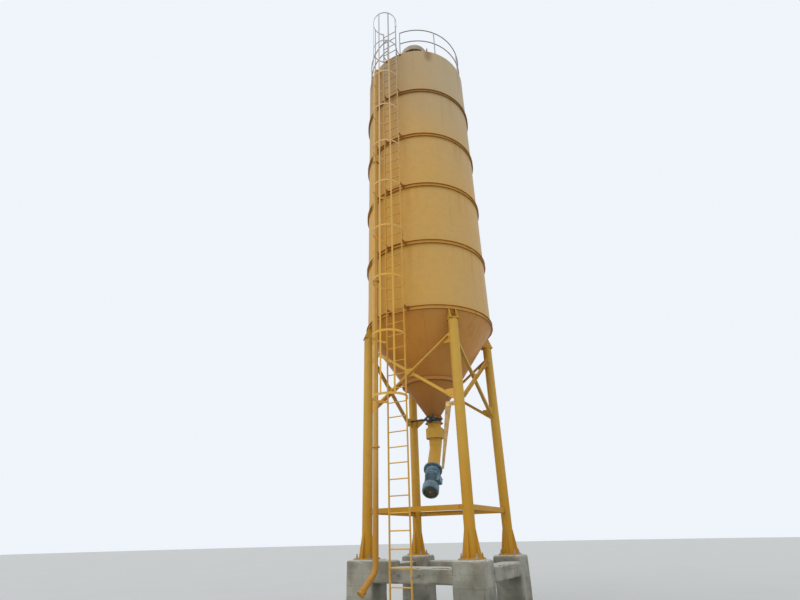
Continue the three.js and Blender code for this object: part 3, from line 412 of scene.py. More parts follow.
floor_material, floor_shader, floor_place, _ = start_finish("pale floor")
floor_cloud = floor_place.grain(0.4, detail=6)
floor_tone = floor_cloud.above(0.2, 0.8).tint(shade(185, 186, 183), shade(189, 189, 186))
end_finish(
    floor_material, floor_shader, floor_tone, 0.9 - floor_cloud * 0.05, floor_cloud * 0.1, 0.002
)
floor.data.materials.append(floor_material)

# %% [markdown]
# ## Forms that make up a piece
#
# Almost everything on the silo is plate, bar or tube, so a few forms cover it. Each function
# starts a small mesh with an operator and returns it standing at the origin. A Piece takes such
# a form as often as needed, each time moved by a matrix, and at the end becomes one object that
# rides on the frame in the place of the solids that it stands for.

# %% Forms: block, rod, lathe and plate
def stand(origin, along, facing=(0, 0, 1)):
    """Stands a form at origin, its +Z along a direction and its +Y turned to facing."""
    z = Vector(along).normalized()
    y = Vector(facing) - z * z.dot(Vector(facing))
    y = y.normalized() if y.length > 1e-5 else z.orthogonal().normalized()
    turn = Matrix((y.cross(z), y, z)).transposed().to_4x4()
    return at(origin) @ turn


def upright(origin, outward):
    """Stands a plate up at origin, the X of its outline along outward and the Y up."""
    return stand(origin, Vector(outward).cross((0, 0, 1)), (0, 0, 1))


def on_side(degrees, radius, height):
    """Keeps a form upright at a point round the silo's axis, its +Y turned outwards."""
    return stand(around(degrees, radius, height), (0, 0, 1), around(degrees, 1, 0))


def soften(form, edges, width, segments=1):
    bmesh.ops.bevel(
        form, geom=edges, offset=width, segments=segments,
        profile=0.5, affect="EDGES", material=-1,
    )


def block(width, depth, height, bevel=0.0015):
    form = bmesh.new()
    size = Matrix.Diagonal((width, depth, height, 1))
    bmesh.ops.create_cube(form, size=1, matrix=size)
    if bevel:
        soften(form, form.edges[:], bevel)
    return form


def rod(length, radius, sides=16, tip=None):
    """A round bar from the origin up Z; tip is the radius at its far end."""
    form = bmesh.new()
    middle = at((0, 0, length / 2))
    bmesh.ops.create_cone(
        form, cap_ends=True, segments=sides, depth=length, matrix=middle,
        radius1=radius, radius2=radius if tip is None else tip,
    )
    return form


def lathe(outline, sides=128, closed=True, turn=360, start=0):
    """Spins an outline of (radius, height) corners round Z."""
    form = bmesh.new()
    first = around(start, 1, 0)
    corners = [form.verts.new((first.x * r, first.y * r, z)) for r, z in outline]
    pairs = zip(corners, corners[1:] + corners[:1] if closed else corners[1:])
    edges = [form.edges.new(pair) for pair in pairs]
    bmesh.ops.spin(
        form, geom=corners + edges, cent=(0, 0, 0), axis=(0, 0, 1),
        steps=sides, angle=math.radians(turn), use_merge=turn == 360,
    )
    return form


def collar(inner, outer, low, high):
    return [(inner, low), (outer, low), (outer, high), (inner, high)]


def rim(outer, start, end, ease=0.002):
    """The outer corners of a flange from one height to another, both edges eased."""
    step = math.copysign(ease, end - start)
    return [(outer - ease, start), (outer, start + step), (outer, end - step), (outer - ease, end)]


def plate(outline, thickness, bevel=0.0):
    """A flat plate with an outline of (x, y) corners, half above and half below Z zero."""
    form = bmesh.new()
    corners = [form.verts.new((x, y, -thickness / 2)) for x, y in outline]
    face = form.faces.new(corners)
    grown = bmesh.ops.extrude_face_region(form, geom=[face])
    lifted = [part for part in grown["geom"] if isinstance(part, bmesh.types.BMVert)]
    bmesh.ops.translate(form, verts=lifted, vec=(0, 0, thickness))
    if bevel:
        soften(form, form.edges[:], bevel)
    return form


print("a block with eased edges has", len(block(1, 1, 1).faces), "faces")

# %% [markdown]
# A bent pipe follows a line of points. A curve with a round bevel does this neatly, and its mesh
# joins the piece as any other form does. A bent flat bar, such as a cage hoop, is a chain of
# edges that is pulled up to a strip and then given its thickness.

# %% Forms: pipe, flat band, bolt and weld bead
def rounded(points, reach, steps=8):
    """The points with each inner corner replaced by a smooth bend that starts reach before it."""
    points = [Vector(point) for point in points]
    route = [points[0]]
    for before, corner, after in zip(points, points[1:], points[2:]):
        start = corner + (before - corner).normalized() * reach
        end = corner + (after - corner).normalized() * reach
        for step in range(steps + 1):
            t = step / steps
            route.append(start.lerp(corner, t).lerp(corner.lerp(end, t), t))
    return route + [points[-1]]


def pipe(route, radius, detail=6):
    curve = bpy.data.curves.new("route", "CURVE")
    curve.dimensions = "3D"
    curve.bevel_depth = radius
    curve.bevel_resolution = detail
    curve.use_fill_caps = True
    spline = curve.splines.new("POLY")
    spline.points.add(len(route) - 1)
    for point, place in zip(spline.points, route):
        point.co = (*place, 1)
    holder = bpy.data.objects.new("route", curve)
    mesh = bpy.data.meshes.new_from_object(holder)
    form = bmesh.new()
    form.from_mesh(mesh)
    bpy.data.objects.remove(holder)
    bpy.data.curves.remove(curve)
    bpy.data.meshes.remove(mesh)
    return form


def band(path, height, thickness):
    """A flat bar on edge that follows a path of (x, y) points; it grows to the path's left."""
    form = bmesh.new()
    corners = [form.verts.new((x, y, -height / 2)) for x, y in path]
    edges = [form.edges.new(pair) for pair in zip(corners, corners[1:])]
    grown = bmesh.ops.extrude_edge_only(form, edges=edges)
    lifted = [part for part in grown["geom"] if isinstance(part, bmesh.types.BMVert)]
    bmesh.ops.translate(form, verts=lifted, vec=(0, 0, height))
    bmesh.ops.solidify(form, geom=form.faces[:], thickness=thickness)
    return form


def bolt(size):
    """A hexagon head on a washer, with its underside at the origin, for a thread of this size."""
    form = rod(size * 0.16, size * 1.15, 12)
    for part in (rod(size * 0.85, size * 0.95, 6, size * 0.9), rod(size * 1.15, size * 0.5, 8)):
        holder = bpy.data.meshes.new("part")
        part.to_mesh(holder)
        part.free()
        form.from_mesh(holder)
        bpy.data.meshes.remove(holder)
    return form


def bead(length, radius=0.004):
    """A short weld bead that lies along Z from the origin."""
    return rod(length, radius, 6)


class Piece:
    """Gathers forms in one mesh and becomes an object that rides on the frame."""

    def __init__(self):
        self.form = bmesh.new()

    def take(self, form, *places):
        bmesh.ops.remove_doubles(form, verts=form.verts[:], dist=1e-5)
        bmesh.ops.recalc_face_normals(form, faces=form.faces[:])
        holder = bpy.data.meshes.new("holder")
        form.to_mesh(holder)
        form.free()
        for place in places or (Matrix(),):
            copy = holder.copy()
            copy.transform(place)
            self.form.from_mesh(copy)
            bpy.data.meshes.remove(copy)
        bpy.data.meshes.remove(holder)
        return self

    def bar(self, start, end, width, depth, facing=(0, 0, 1), bevel=0.0015):
        start, end = Vector(start), Vector(end)
        form = block(width, depth, (end - start).length, bevel)
        return self.take(form, stand((start + end) / 2, end - start, facing))

    def tube(self, start, end, radius, sides=16, tip=None):
        start, end = Vector(start), Vector(end)
        return self.take(rod((end - start).length, radius, sides, tip), stand(start, end - start))

    def done(self, name, look, slot, *nodes, crease=32):
        mesh = bpy.data.meshes.new(name)
        self.form.to_mesh(mesh)
        self.form.free()
        mesh.materials.append(look)
        mesh.shade_smooth()
        mesh.set_sharp_from_angle(angle=math.radians(crease))
        piece = bpy.data.objects.new(name, mesh)
        scene.collection.objects.link(piece)
        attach(piece, "root")
        if nodes:
            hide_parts(*nodes)
        print(f"{name}: {len(mesh.polygons)} faces for {len(nodes)} solids")
        return piece


anchors = Piece()
frame_bolts = Piece()

# %% [markdown]
# ## The shell
#
# Five courses of 6 mm plate are rolled to a 3.2 m cylinder and welded edge to edge. Thin plate is
# never quite true: it is drawn in a few millimetres between the rings. A lathe outline with some
# rows gives the cylinder, and noise then draws its points inwards, fading out at the rings. Each
# course also has two upright weld seams, which are staggered from course to course.

# %% Roll the shell courses
PLATE = 0.006


def draw_in(form, bottom, top, amount=0.005):
    for vert in form.verts:
        outward = Vector((vert.co.x, vert.co.y, 0)).normalized()
        fade = math.sin(math.pi * min(1, max(0, (vert.co.z - bottom) / (top - bottom))))
        spot = Vector((vert.co.x, vert.co.y, vert.co.z * 0.8)) * 1.3
        vert.co -= outward * amount * fade * (0.5 + noise.noise(spot))


course_edges = [SHELL_BOTTOM, *RING_CENTRES[1:], ROOF_EDGE]
for number, (bottom, top) in enumerate(zip(course_edges, course_edges[1:]), 1):
    rows = 10
    outline = [(SHELL_RADIUS, bottom + (top - bottom) * row / rows) for row in range(rows + 1)]
    inner = SHELL_RADIUS - PLATE
    wall = lathe([(inner, bottom), *outline, (inner, top)])
    draw_in(wall, bottom, top)
    course = Piece().take(wall)
    for seam in (52 + 34 * (number % 2), 232 + 34 * (number % 2)):
        seam_place = on_side(seam, SHELL_RADIUS - 0.003, (bottom + top) / 2)
        course.take(block(0.014, 0.008, top - bottom - 0.12, 0.003), seam_place)
    course.done(f"shell_plate_{number}", shell_paint, "shell_paint", f"shell_course_{number}")

# %% [markdown]
# ## The stiffener rings
#
# A steel channel is rolled round each joint of the courses, open side outwards, and its edges
# catch the light as two bright lines with a dark groove between them. It was rolled in three
# lengths with a joint plate over each butt, and it is held by short weld stitches above and
# below. The channel's outline is spun like the shell, and stitches and plates are copied round.

# %% Roll the rings
RING_REACH = 0.045


def channel_ring(centre):
    inner, outer, half, web = SHELL_RADIUS + 0.0003, SHELL_RADIUS + RING_REACH, 0.05, 0.007
    outline = [
        (inner, -half), (outer - 0.002, -half), (outer, 0.002 - half), (outer, web - half),
        (inner + web, web - half), (inner + web, half - web),
        (outer, half - web), (outer, half - 0.002), (outer - 0.002, half), (inner, half),
    ]
    ring = Piece().take(lathe(outline), at((0, 0, centre)))
    stitches = []
    for angle in range(0, 360, 10):
        for side in (-1, 1):
            spot = around(angle, SHELL_RADIUS + 0.002, centre + side * half)
            stitches.append(stand(spot, around(angle + 90, 1, 0)))
    ring.take(bead(0.06), *stitches)
    for joint in (75, 195, 315):
        ring.take(block(0.22, 0.008, 0.07), on_side(joint, inner + web + 0.004, centre))
        for height in (centre - 0.045, centre + 0.045):
            ring.take(block(0.007, 0.03, 0.008), on_side(joint, outer - 0.024, height))
    return ring


for number, centre in enumerate(RING_CENTRES, 1):
    channel_ring(centre).done(
        f"channel_ring_{number}", ring_paint, "shell_paint", f"stiffener_ring_{number}"
    )

# %% [markdown]
# ## The cone
#
# Below the bottom ring the bin narrows at 56 degrees in two courses of plate, each made of six
# gores welded along the slope. A band covers the joint of the courses, and a bolted flange ends
# the cone. The wall is spun from its slope, drawn in a little like the shell, and the seams are
# thin bars between two points of the slope.

# %% Form the cone
CONE_ANGLE = math.radians(56)
SLOPE = math.tan(CONE_ANGLE)
CONE_JOINT, OUTLET = 0.7, 0.15
CONE_WALL = PLATE / math.sin(CONE_ANGLE)
FIRST_GORE = 21
FLANGE, FLANGE_RADIUS = 0.014, 0.215


def cone_height(radius):
    return SHELL_BOTTOM - (SHELL_RADIUS - radius) * SLOPE


def cone_wall(low_radius, high_radius, rows=8):
    radii = [low_radius + (high_radius - low_radius) * row / rows for row in range(rows + 1)]
    outside = [(radius, cone_height(radius)) for radius in radii]
    inside = [(radius - CONE_WALL, height) for radius, height in (outside[-1], outside[0])]
    wall = lathe(outside + inside)
    draw_in(wall, cone_height(low_radius), cone_height(high_radius), 0.004)
    cone = Piece().take(wall)
    for angle in range(FIRST_GORE, 360, 60):
        low, high = (
            around(angle, radius, cone_height(radius))
            for radius in (low_radius + 0.03, high_radius - 0.03)
        )
        cone.bar(low, high, 0.014, 0.006, around(angle, 1, -1), 0.002)
    return cone


cone_wall(CONE_JOINT, SHELL_RADIUS).done("upper_cone_plate", cone_paint, "shell_paint", "upper_cone")

outlet_height = cone_height(OUTLET)
flange_top = outlet_height - 0.03
flange_low = flange_top - FLANGE
bore = OUTLET - CONE_WALL
lower = cone_wall(OUTLET, CONE_JOINT - 0.001)
band_top = cone_height(CONE_JOINT) - 0.001
band_low = band_top - 0.079
lower.take(lathe([
    (CONE_JOINT - 0.05, band_low), *rim(CONE_JOINT + 0.04, band_low, band_top), (CONE_JOINT, band_top),
]))
lower.take(lathe([
    (bore, flange_low), *rim(FLANGE_RADIUS, flange_low, flange_top), (OUTLET, flange_top),
    (OUTLET, outlet_height + 0.01), (bore, outlet_height + 0.01),
], 64))
rib = plate([(0.0, 0.0), (0.055, 0.0), (0.055, 0.012), (0.022, 0.075), (0.022, 0.1)], 0.008, 0.001)
mirrored = Matrix.Scale(-1, 4, (1, 0, 0))
lower.take(rib, *(
    stand(around(angle, OUTLET, flange_top), around(angle + 90, 1, 0)) @ mirrored
    for angle in range(20, 360, 45)
))
lower.done("lower_cone_plate", cone_paint, "shell_paint", "lower_cone")
frame_bolts.take(bolt(0.016), *(
    stand(around(angle, 0.19, flange_top), (0, 0, 1)) for angle in range(5, 360, 30)
))

# %% [markdown]
# ## The legs
#
# Each leg is a 219 mm tube between a foot plate with four gussets and a cap plate with two saddle
# plates, which carry the bottom ring. A weld bead runs round the tube's foot. The foot plate is
# held down by four anchor bolts with two nuts, a square washer and some bare thread. The saddle
# plates are trimmed to the cone's slope by their outline.

# %% Build the legs
LEG = 1.145
LEG_RADIUS = 0.1095
LEG_PLATE, FOOT_PLATE, ANCHOR = 0.022, 0.4, 0.15
PIER_TOP = 1.2
CAP_TOP = 6.06
CAP_LENGTH = 0.24
CORNERS = [(-1, -1), (1, -1), (1, 1), (-1, 1)]


def leg_gusset():
    edge = LEG_RADIUS - 0.006
    outline = [
        (edge, 0), (LEG_RADIUS + 0.085, 0), (LEG_RADIUS + 0.085, 0.03),
        (LEG_RADIUS + 0.008, 0.48), (edge, 0.48),
    ]
    return plate(outline, 0.012, 0.0015)


def saddle(distance):
    low, high = CAP_TOP, SHELL_BOTTOM - 0.0003
    clear = 0.008
    inside = [SHELL_RADIUS - (SHELL_BOTTOM - height) / SLOPE + clear for height in (low, high)]
    outline = [
        (inside[0], low), (distance + CAP_LENGTH / 2, low),
        (SHELL_RADIUS + RING_REACH - 0.005, high), (inside[1], high),
    ]
    return plate(outline, 0.016, 0.0015)


for number, (sign_x, sign_y) in enumerate(CORNERS, 1):
    foot = Vector((sign_x * LEG, sign_y * LEG, PIER_TOP))
    step_up = foot + Vector((0, 0, LEG_PLATE))
    cap_middle = Vector((foot.x, foot.y, CAP_TOP - LEG_PLATE / 2))
    outward = Vector((foot.x, foot.y, 0)).normalized()
    sideways = outward.cross((0, 0, 1))
    leg = Piece()
    leg.tube(foot + Vector((0, 0, 0.01)), cap_middle, LEG_RADIUS, 48)
    leg.take(block(FOOT_PLATE, FOOT_PLATE, LEG_PLATE, 0.002), at((foot + step_up) / 2))
    weld = lathe([(LEG_RADIUS - 0.003, 0), (LEG_RADIUS + 0.009, 0), (LEG_RADIUS, 0.009)], 48)
    leg.take(weld, at(step_up))
    leg.take(leg_gusset(), *(upright(step_up, around(90 * side, 1, 0)) for side in range(4)))
    leg.take(block(0.23, CAP_LENGTH, LEG_PLATE, 0.002), stand(cap_middle, (0, 0, 1), outward))
    leg.take(saddle(foot.xy.length), *(
        upright(sideways * offset, outward) for offset in (-0.085, 0.085)
    ))
    leg.done(f"leg_tube_{number}", frame_paint, "frame_paint", f"leg_{number}")
    for x, y in CORNERS:
        spot = at(step_up + Vector((x * ANCHOR, y * ANCHOR, 0)))
        anchors.take(block(0.06, 0.06, 0.008), spot @ at((0, 0, 0.004)))
        anchors.take(rod(0.022, 0.021, 6), spot @ at((0, 0, 0.008)))
        anchors.take(rod(0.018, 0.021, 6), spot @ at((0, 0, 0.03)))
        anchors.take(rod(0.085, 0.012, 12), spot)

# %% [markdown]
# ## Braces and ties
#
# Each side of the frame is stiffened by two crossed angle bars, which are bolted to a plate where
# they cross and to a gusset plate on each leg, and lower down by one level channel. All four
# sides are alike, so the pieces are placed for the ladder's side and then turned by quarters.
# The bars on the ladder's side take the lighter rail paint: painted light, which makes that side
# look more lit than the others. One angle lies before the plates and one behind, or they would run
# into each other. A gusset's slanting edge follows its bar, so its corners come from the bar's slope.

# %% Bolt up the braces and ties
BRACE_TOP, BRACE_LOW = 5.78, 4.16
REACH = LEG - LEG_RADIUS - 0.0003
TIE_HEIGHT = 2.09


def crossed_angles(turn):
    slope = (BRACE_TOP - BRACE_LOW) / (2 * LEG)
    middle = Vector((0, -LEG, (BRACE_TOP + BRACE_LOW) / 2))
    length = 2 * (REACH - 0.045) * math.hypot(1, slope)
    face, nut_face = 0.012, -0.005
    brace = Piece()
    for facing in (-1, 1):
        place = turn @ stand(middle, (-facing, 0, slope), (0, facing, 0))
        brace.take(block(0.07, 0.007, length), place @ at((0, 0.0085, 0)))
        brace.take(block(0.007, 0.07, length), place @ at((-0.0315, 0.04, 0)))
        end = length / 2
        for along in (0.05 - end, 0.13 - end, -0.07, 0.07, end - 0.13, end - 0.05):
            frame_bolts.take(bolt(0.016), place @ stand((0.004, face, along), (0, 1, 0)))
            brace.take(rod(0.014, 0.014, 6), place @ stand((0.004, nut_face, along), (0, -1, 0)))
        frame_bolts.take(bolt(0.016), place @ stand((0, face, 0), (0, 1, 0)))
    flat = turn @ upright(middle, (1, 0, 0))
    brace.take(block(0.19, 0.19, 0.01, 0.002), flat)
    near = REACH - 0.185
    level = REACH * slope - 0.2
    for side in (-1, 1):
        for up in (-1, 1):
            corners = [
                (REACH, REACH * slope + 0.045), (near, near * slope + 0.045), (near, level), (REACH, level),
            ]
            outline = [(side * x, up * z) for x, z in corners]
            brace.take(plate(outline, 0.01, 0.0015), flat)
            ends = [turn @ (middle + Vector((side * (REACH - 0.002), -0.006, up * z))) for z in (
                level + 0.015, corners[0][1] - 0.015,
            )]
            brace.tube(*ends, 0.005, 6)
    return brace


def level_channel(turn):
    half, deep, web = 0.05, 0.05, 0.007
    outline = [
        (-half, 0), (half, 0), (half, deep), (half - web, deep),
        (half - web, web), (web - half, web), (web - half, deep), (-half, deep),
    ]
    tie = Piece()
    front = Vector((0, -LEG - deep / 2, TIE_HEIGHT))
    tie.take(plate(outline, 2 * REACH, 0.001), turn @ at(front) @ turned(-90, "Y"))
    for side in (-1, 1):
        spot = front + Vector((side * (REACH - 0.06), 0, 0))
        for height in (-0.024, 0.024):
            head = stand(spot + Vector((0, 0, height)), (0, -1, 0))
            frame_bolts.take(bolt(0.014), turn @ head)
        tie.take(block(0.11, 0.01, 0.084), turn @ at(spot + Vector((0, 0.012, 0))))
    return tie


for number in range(4):
    quarter = turned(90 * number)
    # The front side's bars take the lighter rail paint: painted light.
    coat_lit_in_front = frame_paint if number else lit_rail_paint
    crossed_angles(quarter).done(
        f"crossed_angles_{number + 1}", coat_lit_in_front, "frame_paint", f"cross_brace_{number + 1}"
    )
    level_channel(quarter).done(
        f"level_channel_{number + 1}", frame_paint, "frame_paint", f"leg_tie_{number + 1}"
    )

# %% [markdown]
# ## The foundation
#
# Four square piers carry the legs, joined near the top by beams, and the first pier's top runs on
# a little way over its beam. Cast edges wear round and crumble, and faces are a little uneven. A
# cube is cut into a fine grid, and each point is pulled in to a box with round edges. Noise then
# sinks it a few millimetres further, and more on the edges, which chips them. Points only ever
# move inwards, so the block never outgrows its solid.

# %% Cast the piers and beams
PIER = 0.62
BEAM_WIDTH, BEAM_LOW, BEAM_TOP = 0.4, 0.8, 1.09
PLINTH_END = -0.4


def cast(low, high, cuts=30, edge=0.05, sunk=0.004):
    """A worn block of concrete; one that stands on the ground keeps its foot square."""
    low, high = Vector(low), Vector(high)
    middle, half = (low + high) / 2, (high - low) / 2
    form = bmesh.new()
    place = at(middle) @ Matrix.Diagonal((*(high - low), 1))
    bmesh.ops.create_cube(form, size=1, matrix=place)
    bmesh.ops.subdivide_edges(form, edges=form.edges[:], cuts=cuts, use_grid_fill=True)
    for vert in form.verts:
        off = vert.co - middle
        core = Vector(max(edge - h, min(h - edge, o)) for o, h in zip(off, half))
        if low.z == 0:
            core.z = min(half.z - edge, off.z)
        outward = (off - core).normalized()
        chip = noise.noise(vert.co * 6) + 0.5 * noise.noise(vert.co * 19)
        slant = 1 - max(abs(value) for value in outward)
        sink = sunk + 0.006 * noise.noise(vert.co * 4) + 0.18 * slant * max(0, chip - 0.05)
        vert.co = middle + core + outward * (edge - max(0.001, sink))
    return form


front = -LEG - PIER / 2
for number, (sign_x, sign_y) in enumerate(CORNERS, 1):
    x, y, half = sign_x * LEG, sign_y * LEG, PIER / 2
    pier = Piece().take(cast((x - half, y - half, 0), (x + half, y + half, PIER_TOP)))
    pier.take(block(0.44, 0.44, 0.03, 0.006), at((x, y, PIER_TOP - 0.0155)))
    if number == 1:
        pier.take(cast((x, front, BEAM_LOW), (PLINTH_END, front + BEAM_WIDTH, PIER_TOP), sunk=0.006))
    pier.done(
        f"cast_pier_{number}", foundation_concrete, "concrete", f"foundation_pier_{number}", crease=60
    )
    span = LEG - half + 0.06
    start = PLINTH_END - 0.06 if number == 1 else -span
    beam = Piece().take(
        cast((start, front, BEAM_LOW), (span, front + BEAM_WIDTH, BEAM_TOP), sunk=0.008),
        turned(90 * (number - 1)),
    )
    beam.done(
        f"cast_beam_{number}", foundation_concrete, "concrete", f"foundation_beam_{number}", crease=60
    )

# %% [markdown]
# ## The ladder
#
# Two flat bars on edge are the stiles, and round bars go through them as rungs, 305 mm apart. The
# lower and upper lengths are joined at 6.5 m by bolted splice plates. Flat brackets stand the
# ladder off from the rings. They are a piece of their own, since they are still in primer. The
# lowest pair, on the beam, is zinc plated and so goes with the anchor bolts.

# %% Weld the ladder
LADDER_Y = -1.8
LADDER_HALF = 0.225
SPLIT, LADDER_TOP = 6.5, 16.52
FIRST_RUNG, RUNG_STEP = 0.176, 0.305


def ladder_length(bottom, top):
    ladder = Piece()
    for side in (-1, 1):
        x = side * LADDER_HALF
        ladder.bar((x, LADDER_Y, bottom), (x, LADDER_Y, top), 0.01, 0.06, (0, 1, 0))
    heights = [FIRST_RUNG + RUNG_STEP * number for number in range(54)]
    rungs = [height for height in heights if bottom + 0.06 < height < top - 0.06]
    starts = [stand((-LADDER_HALF - 0.007, LADDER_Y, height), (1, 0, 0)) for height in rungs]
    ladder.take(rod(2 * LADDER_HALF + 0.014, 0.012, 12), *starts)
    weld = lathe([(0.011, 0), (0.018, 0), (0.012, 0.006)], 12)
    ladder.take(weld, *(
        stand((side * (LADDER_HALF - 0.005), LADDER_Y, height), (-side, 0, 0))
        for height in rungs for side in (-1, 1)
    ))
    return ladder


lower_length = ladder_length(0.0, SPLIT)
upper_length = ladder_length(SPLIT + 0.0003, LADDER_TOP)
for side in (-1, 1):
    x = side * (LADDER_HALF - 0.009)
    lower_length.take(block(0.008, 0.05, 0.3), at((x, LADDER_Y, SPLIT)))
    for step in (-0.11, -0.05, 0.05, 0.11):
        spot = Vector((side * (LADDER_HALF + 0.005), LADDER_Y, SPLIT + step))
        frame_bolts.take(bolt(0.01), stand(spot, (side, 0, 0)))

brackets = Piece()
ring_face = -math.sqrt((SHELL_RADIUS + RING_REACH) ** 2 - LADDER_HALF ** 2) - 0.001
wall_face = -math.sqrt(SHELL_RADIUS ** 2 - LADDER_HALF ** 2) - 0.001
holds = [(anchors, (BEAM_LOW + BEAM_TOP) / 2, front - 0.001, 0.05)]
holds += [(brackets, height, ring_face, 0.09) for height in RING_CENTRES]
holds.append((brackets, ROOF_EDGE - 0.05, wall_face, 0.05))
for holder, height, back, width in holds:
    for side in (-1, 1):
        x = side * (LADDER_HALF + 0.009)
        holder.bar((x, LADDER_Y, height), (x, back, height), width, 0.008, (1, 0, 0))
        foot_plate = at((x + side * 0.02, back - 0.003, height))
        holder.take(block(0.05, 0.008, width + 0.02), foot_plate)
        for y in (-0.015, 0.015):
            spot = Vector((x + side * 0.004, LADDER_Y + y, height))
            frame_bolts.take(bolt(0.01), stand(spot, (side, 0, 0)))
anchors.done("anchor_bolts", zinc, "bare_steel")
brackets.done("ladder_brackets", primer, "frame_paint")
lower_length.done("ladder_foot_length", lit_rail_paint, "frame_paint", "ladder_lower")
upper_length.done("ladder_top_length", lit_rail_paint, "frame_paint", "ladder_upper")

# %% [markdown]
# ## The safety cage
#
# Ten hoops of flat bar ring the ladder from 4.2 m up, and five upright flat bars run down inside
# them, with a flat-headed rivet at each crossing. A hoop is one round bend that ends at the two
# stiles, where a short lap is bolted. So its path is an arc, and the band form gives it its
# height and thickness.

# %% Bend the cage
HOOP_HEIGHTS = [4.17 + 1.37 * number for number in range(10)]
HOOP_RADIUS = 0.3735
HOOP_PLATE = 0.006
CAGE_MIDDLE = Vector((0, LADDER_Y - 0.3, 0))


def on_hoop(degrees, radius, height):
    return CAGE_MIDDLE + around(degrees, radius, height)


arc = [on_hoop(143 - 5.5 * step, HOOP_RADIUS, 0).xy for step in range(53)]
cage = Piece().take(
    band(arc, 0.05, HOOP_PLATE), *(at((0, 0, height)) for height in HOOP_HEIGHTS)
)
low, high = HOOP_HEIGHTS[0] - 0.025, HOOP_HEIGHTS[-1] + 0.025
rivet = lathe([(0, 0), (0.01, 0), (0.008, 0.002), (0.004, 0.003), (0, 0.003)], 10, closed=False)
rivets = []
for angle in (-92, -46, 0, 46, 92):
    radius = HOOP_RADIUS - HOOP_PLATE / 2
    outward = around(angle, 1, 0)
    cage.bar(on_hoop(angle, radius, low), on_hoop(angle, radius, high), 0.04, HOOP_PLATE, outward)
    for height in HOOP_HEIGHTS:
        rivets.append(stand(on_hoop(angle, HOOP_RADIUS + HOOP_PLATE, height), outward))
cage.take(rivet, *rivets)
frame_bolts.take(bolt(0.01), *(
    stand(on_hoop(angle, HOOP_RADIUS + HOOP_PLATE, height), around(angle, 1, 0))
    for angle in (-138, -133, 133, 138) for height in HOOP_HEIGHTS
))
cage.done("safety_cage", lit_rail_paint, "frame_paint", "cage_left", "cage_front", "cage_right")

# %% [markdown]
# ## The roof, its hatch and its lugs
#
# The roof is a very flat cone of plate with a level crown for the filter. Four lifting lugs stand
# at its edge, and a round hatch with a lid lets a person in. The shell's paint gathers dust here,
# because the roof looks up. The lid is a shallow turned form with toggle clamps round it.

# %% Make the roof
CROWN = ROOF_EDGE + 0.156
CROWN_RADIUS = 0.43
ROOF_FALL = 0.15 / (SHELL_RADIUS - CROWN_RADIUS)

roof = Piece().take(lathe([
    (0, CROWN - PLATE), (CROWN_RADIUS, CROWN - PLATE), (SHELL_RADIUS - 0.001, ROOF_EDGE),
    (SHELL_RADIUS, ROOF_EDGE + 0.004), (SHELL_RADIUS - 0.004, ROOF_EDGE + 0.007),
    (CROWN_RADIUS, CROWN), (0, CROWN),
], closed=False))
for angle in range(10, 360, 45):
    low = around(angle, SHELL_RADIUS - 0.02, ROOF_EDGE + PLATE + 0.02 * ROOF_FALL)
    high = around(angle, CROWN_RADIUS + 0.01, CROWN)
    roof.bar(low, high, 0.016, 0.006, (0, 0, 1), 0.002)
roof.done("roof_plate", shell_paint, "shell_paint", "roof")

lug = [
    (-0.045, 0), (0.045, 0), (0.045, 0.2), (0.03, 0.228), (0, 0.237), (-0.03, 0.228), (-0.045, 0.2),
]
ring_eye = lathe([(0.018, -0.011), (0.027, -0.011), (0.027, 0.011), (0.018, 0.011)], 20)
lug_places = [
    upright(around(angle, 1.53, ROOF_EDGE + 0.002), around(angle, 1, 0)) for angle in LUG_ANGLES
]
lugs = Piece().take(plate(lug, 0.016, 0.002), *lug_places)
lugs.take(ring_eye, *(place @ at((0, 0.19, 0)) for place in lug_places))
lugs.done("lifting_lugs", primer, "frame_paint")

hatch = Piece()
hatch_spot = around(120, 0.96, ROOF_EDGE)
lid_height = 0.17
hatch.take(lathe([
    (0.29, 0.05), (0.3, 0.05), (0.3, lid_height - 0.02), (0.315, lid_height - 0.01),
    (0.315, lid_height), (0.29, lid_height),
], 64), at(hatch_spot))
hatch.take(lathe([
    (0, lid_height + 0.002), (0.33, lid_height + 0.002), (0.33, lid_height + 0.012),
    (0.31, lid_height + 0.02), (0.12, lid_height + 0.024), (0, lid_height + 0.0245),
], 64, closed=False), at(hatch_spot))
hatch.take(block(0.03, 0.02, 0.07, 0.003), *(
    at(hatch_spot) @ on_side(angle, 0.318, lid_height - 0.02) for angle in range(30, 360, 60)
))
handle_spot = hatch_spot + Vector((-0.09, 0.05, lid_height + 0.016))
hatch.take(rod(0.18, 0.008, 12), stand(handle_spot, (1, 0, 0)))
hatch.done("roof_hatch_lid", shell_paint, "shell_paint", "roof_hatch")

# %% [markdown]
# ## The guardrail
#
# Nine posts of 35 mm tube stand on square pads near the roof's edge, and carry a top rail and a
# knee rail, which leave a gap at the ladder. Each rail is a small circle spun round the silo's
# axis through almost a full turn. A flat face closes each end, and a ball rounds each post's head.

# %% Bend the guardrail
RAIL_RADIUS = 1.55
RAIL_TUBE, POST_TUBE = 0.0165, 0.0175
TOP_RAIL, KNEE_RAIL = ROOF_EDGE + 1.123, ROOF_EDGE + 0.57
FIRST_POST = 8.5
POST_STEP = (360 - 2 * FIRST_POST) / 8


def arc_tube(radius, height, tube, start, end, sides=12):
    turns = [math.tau * step / sides for step in range(sides)]
    circle = [(radius + tube * math.cos(turn), height + tube * math.sin(turn)) for turn in turns]
    form = lathe(circle, 144, turn=end - start, start=start)
    bmesh.ops.holes_fill(form, edges=[edge for edge in form.edges if edge.is_boundary])
    return form


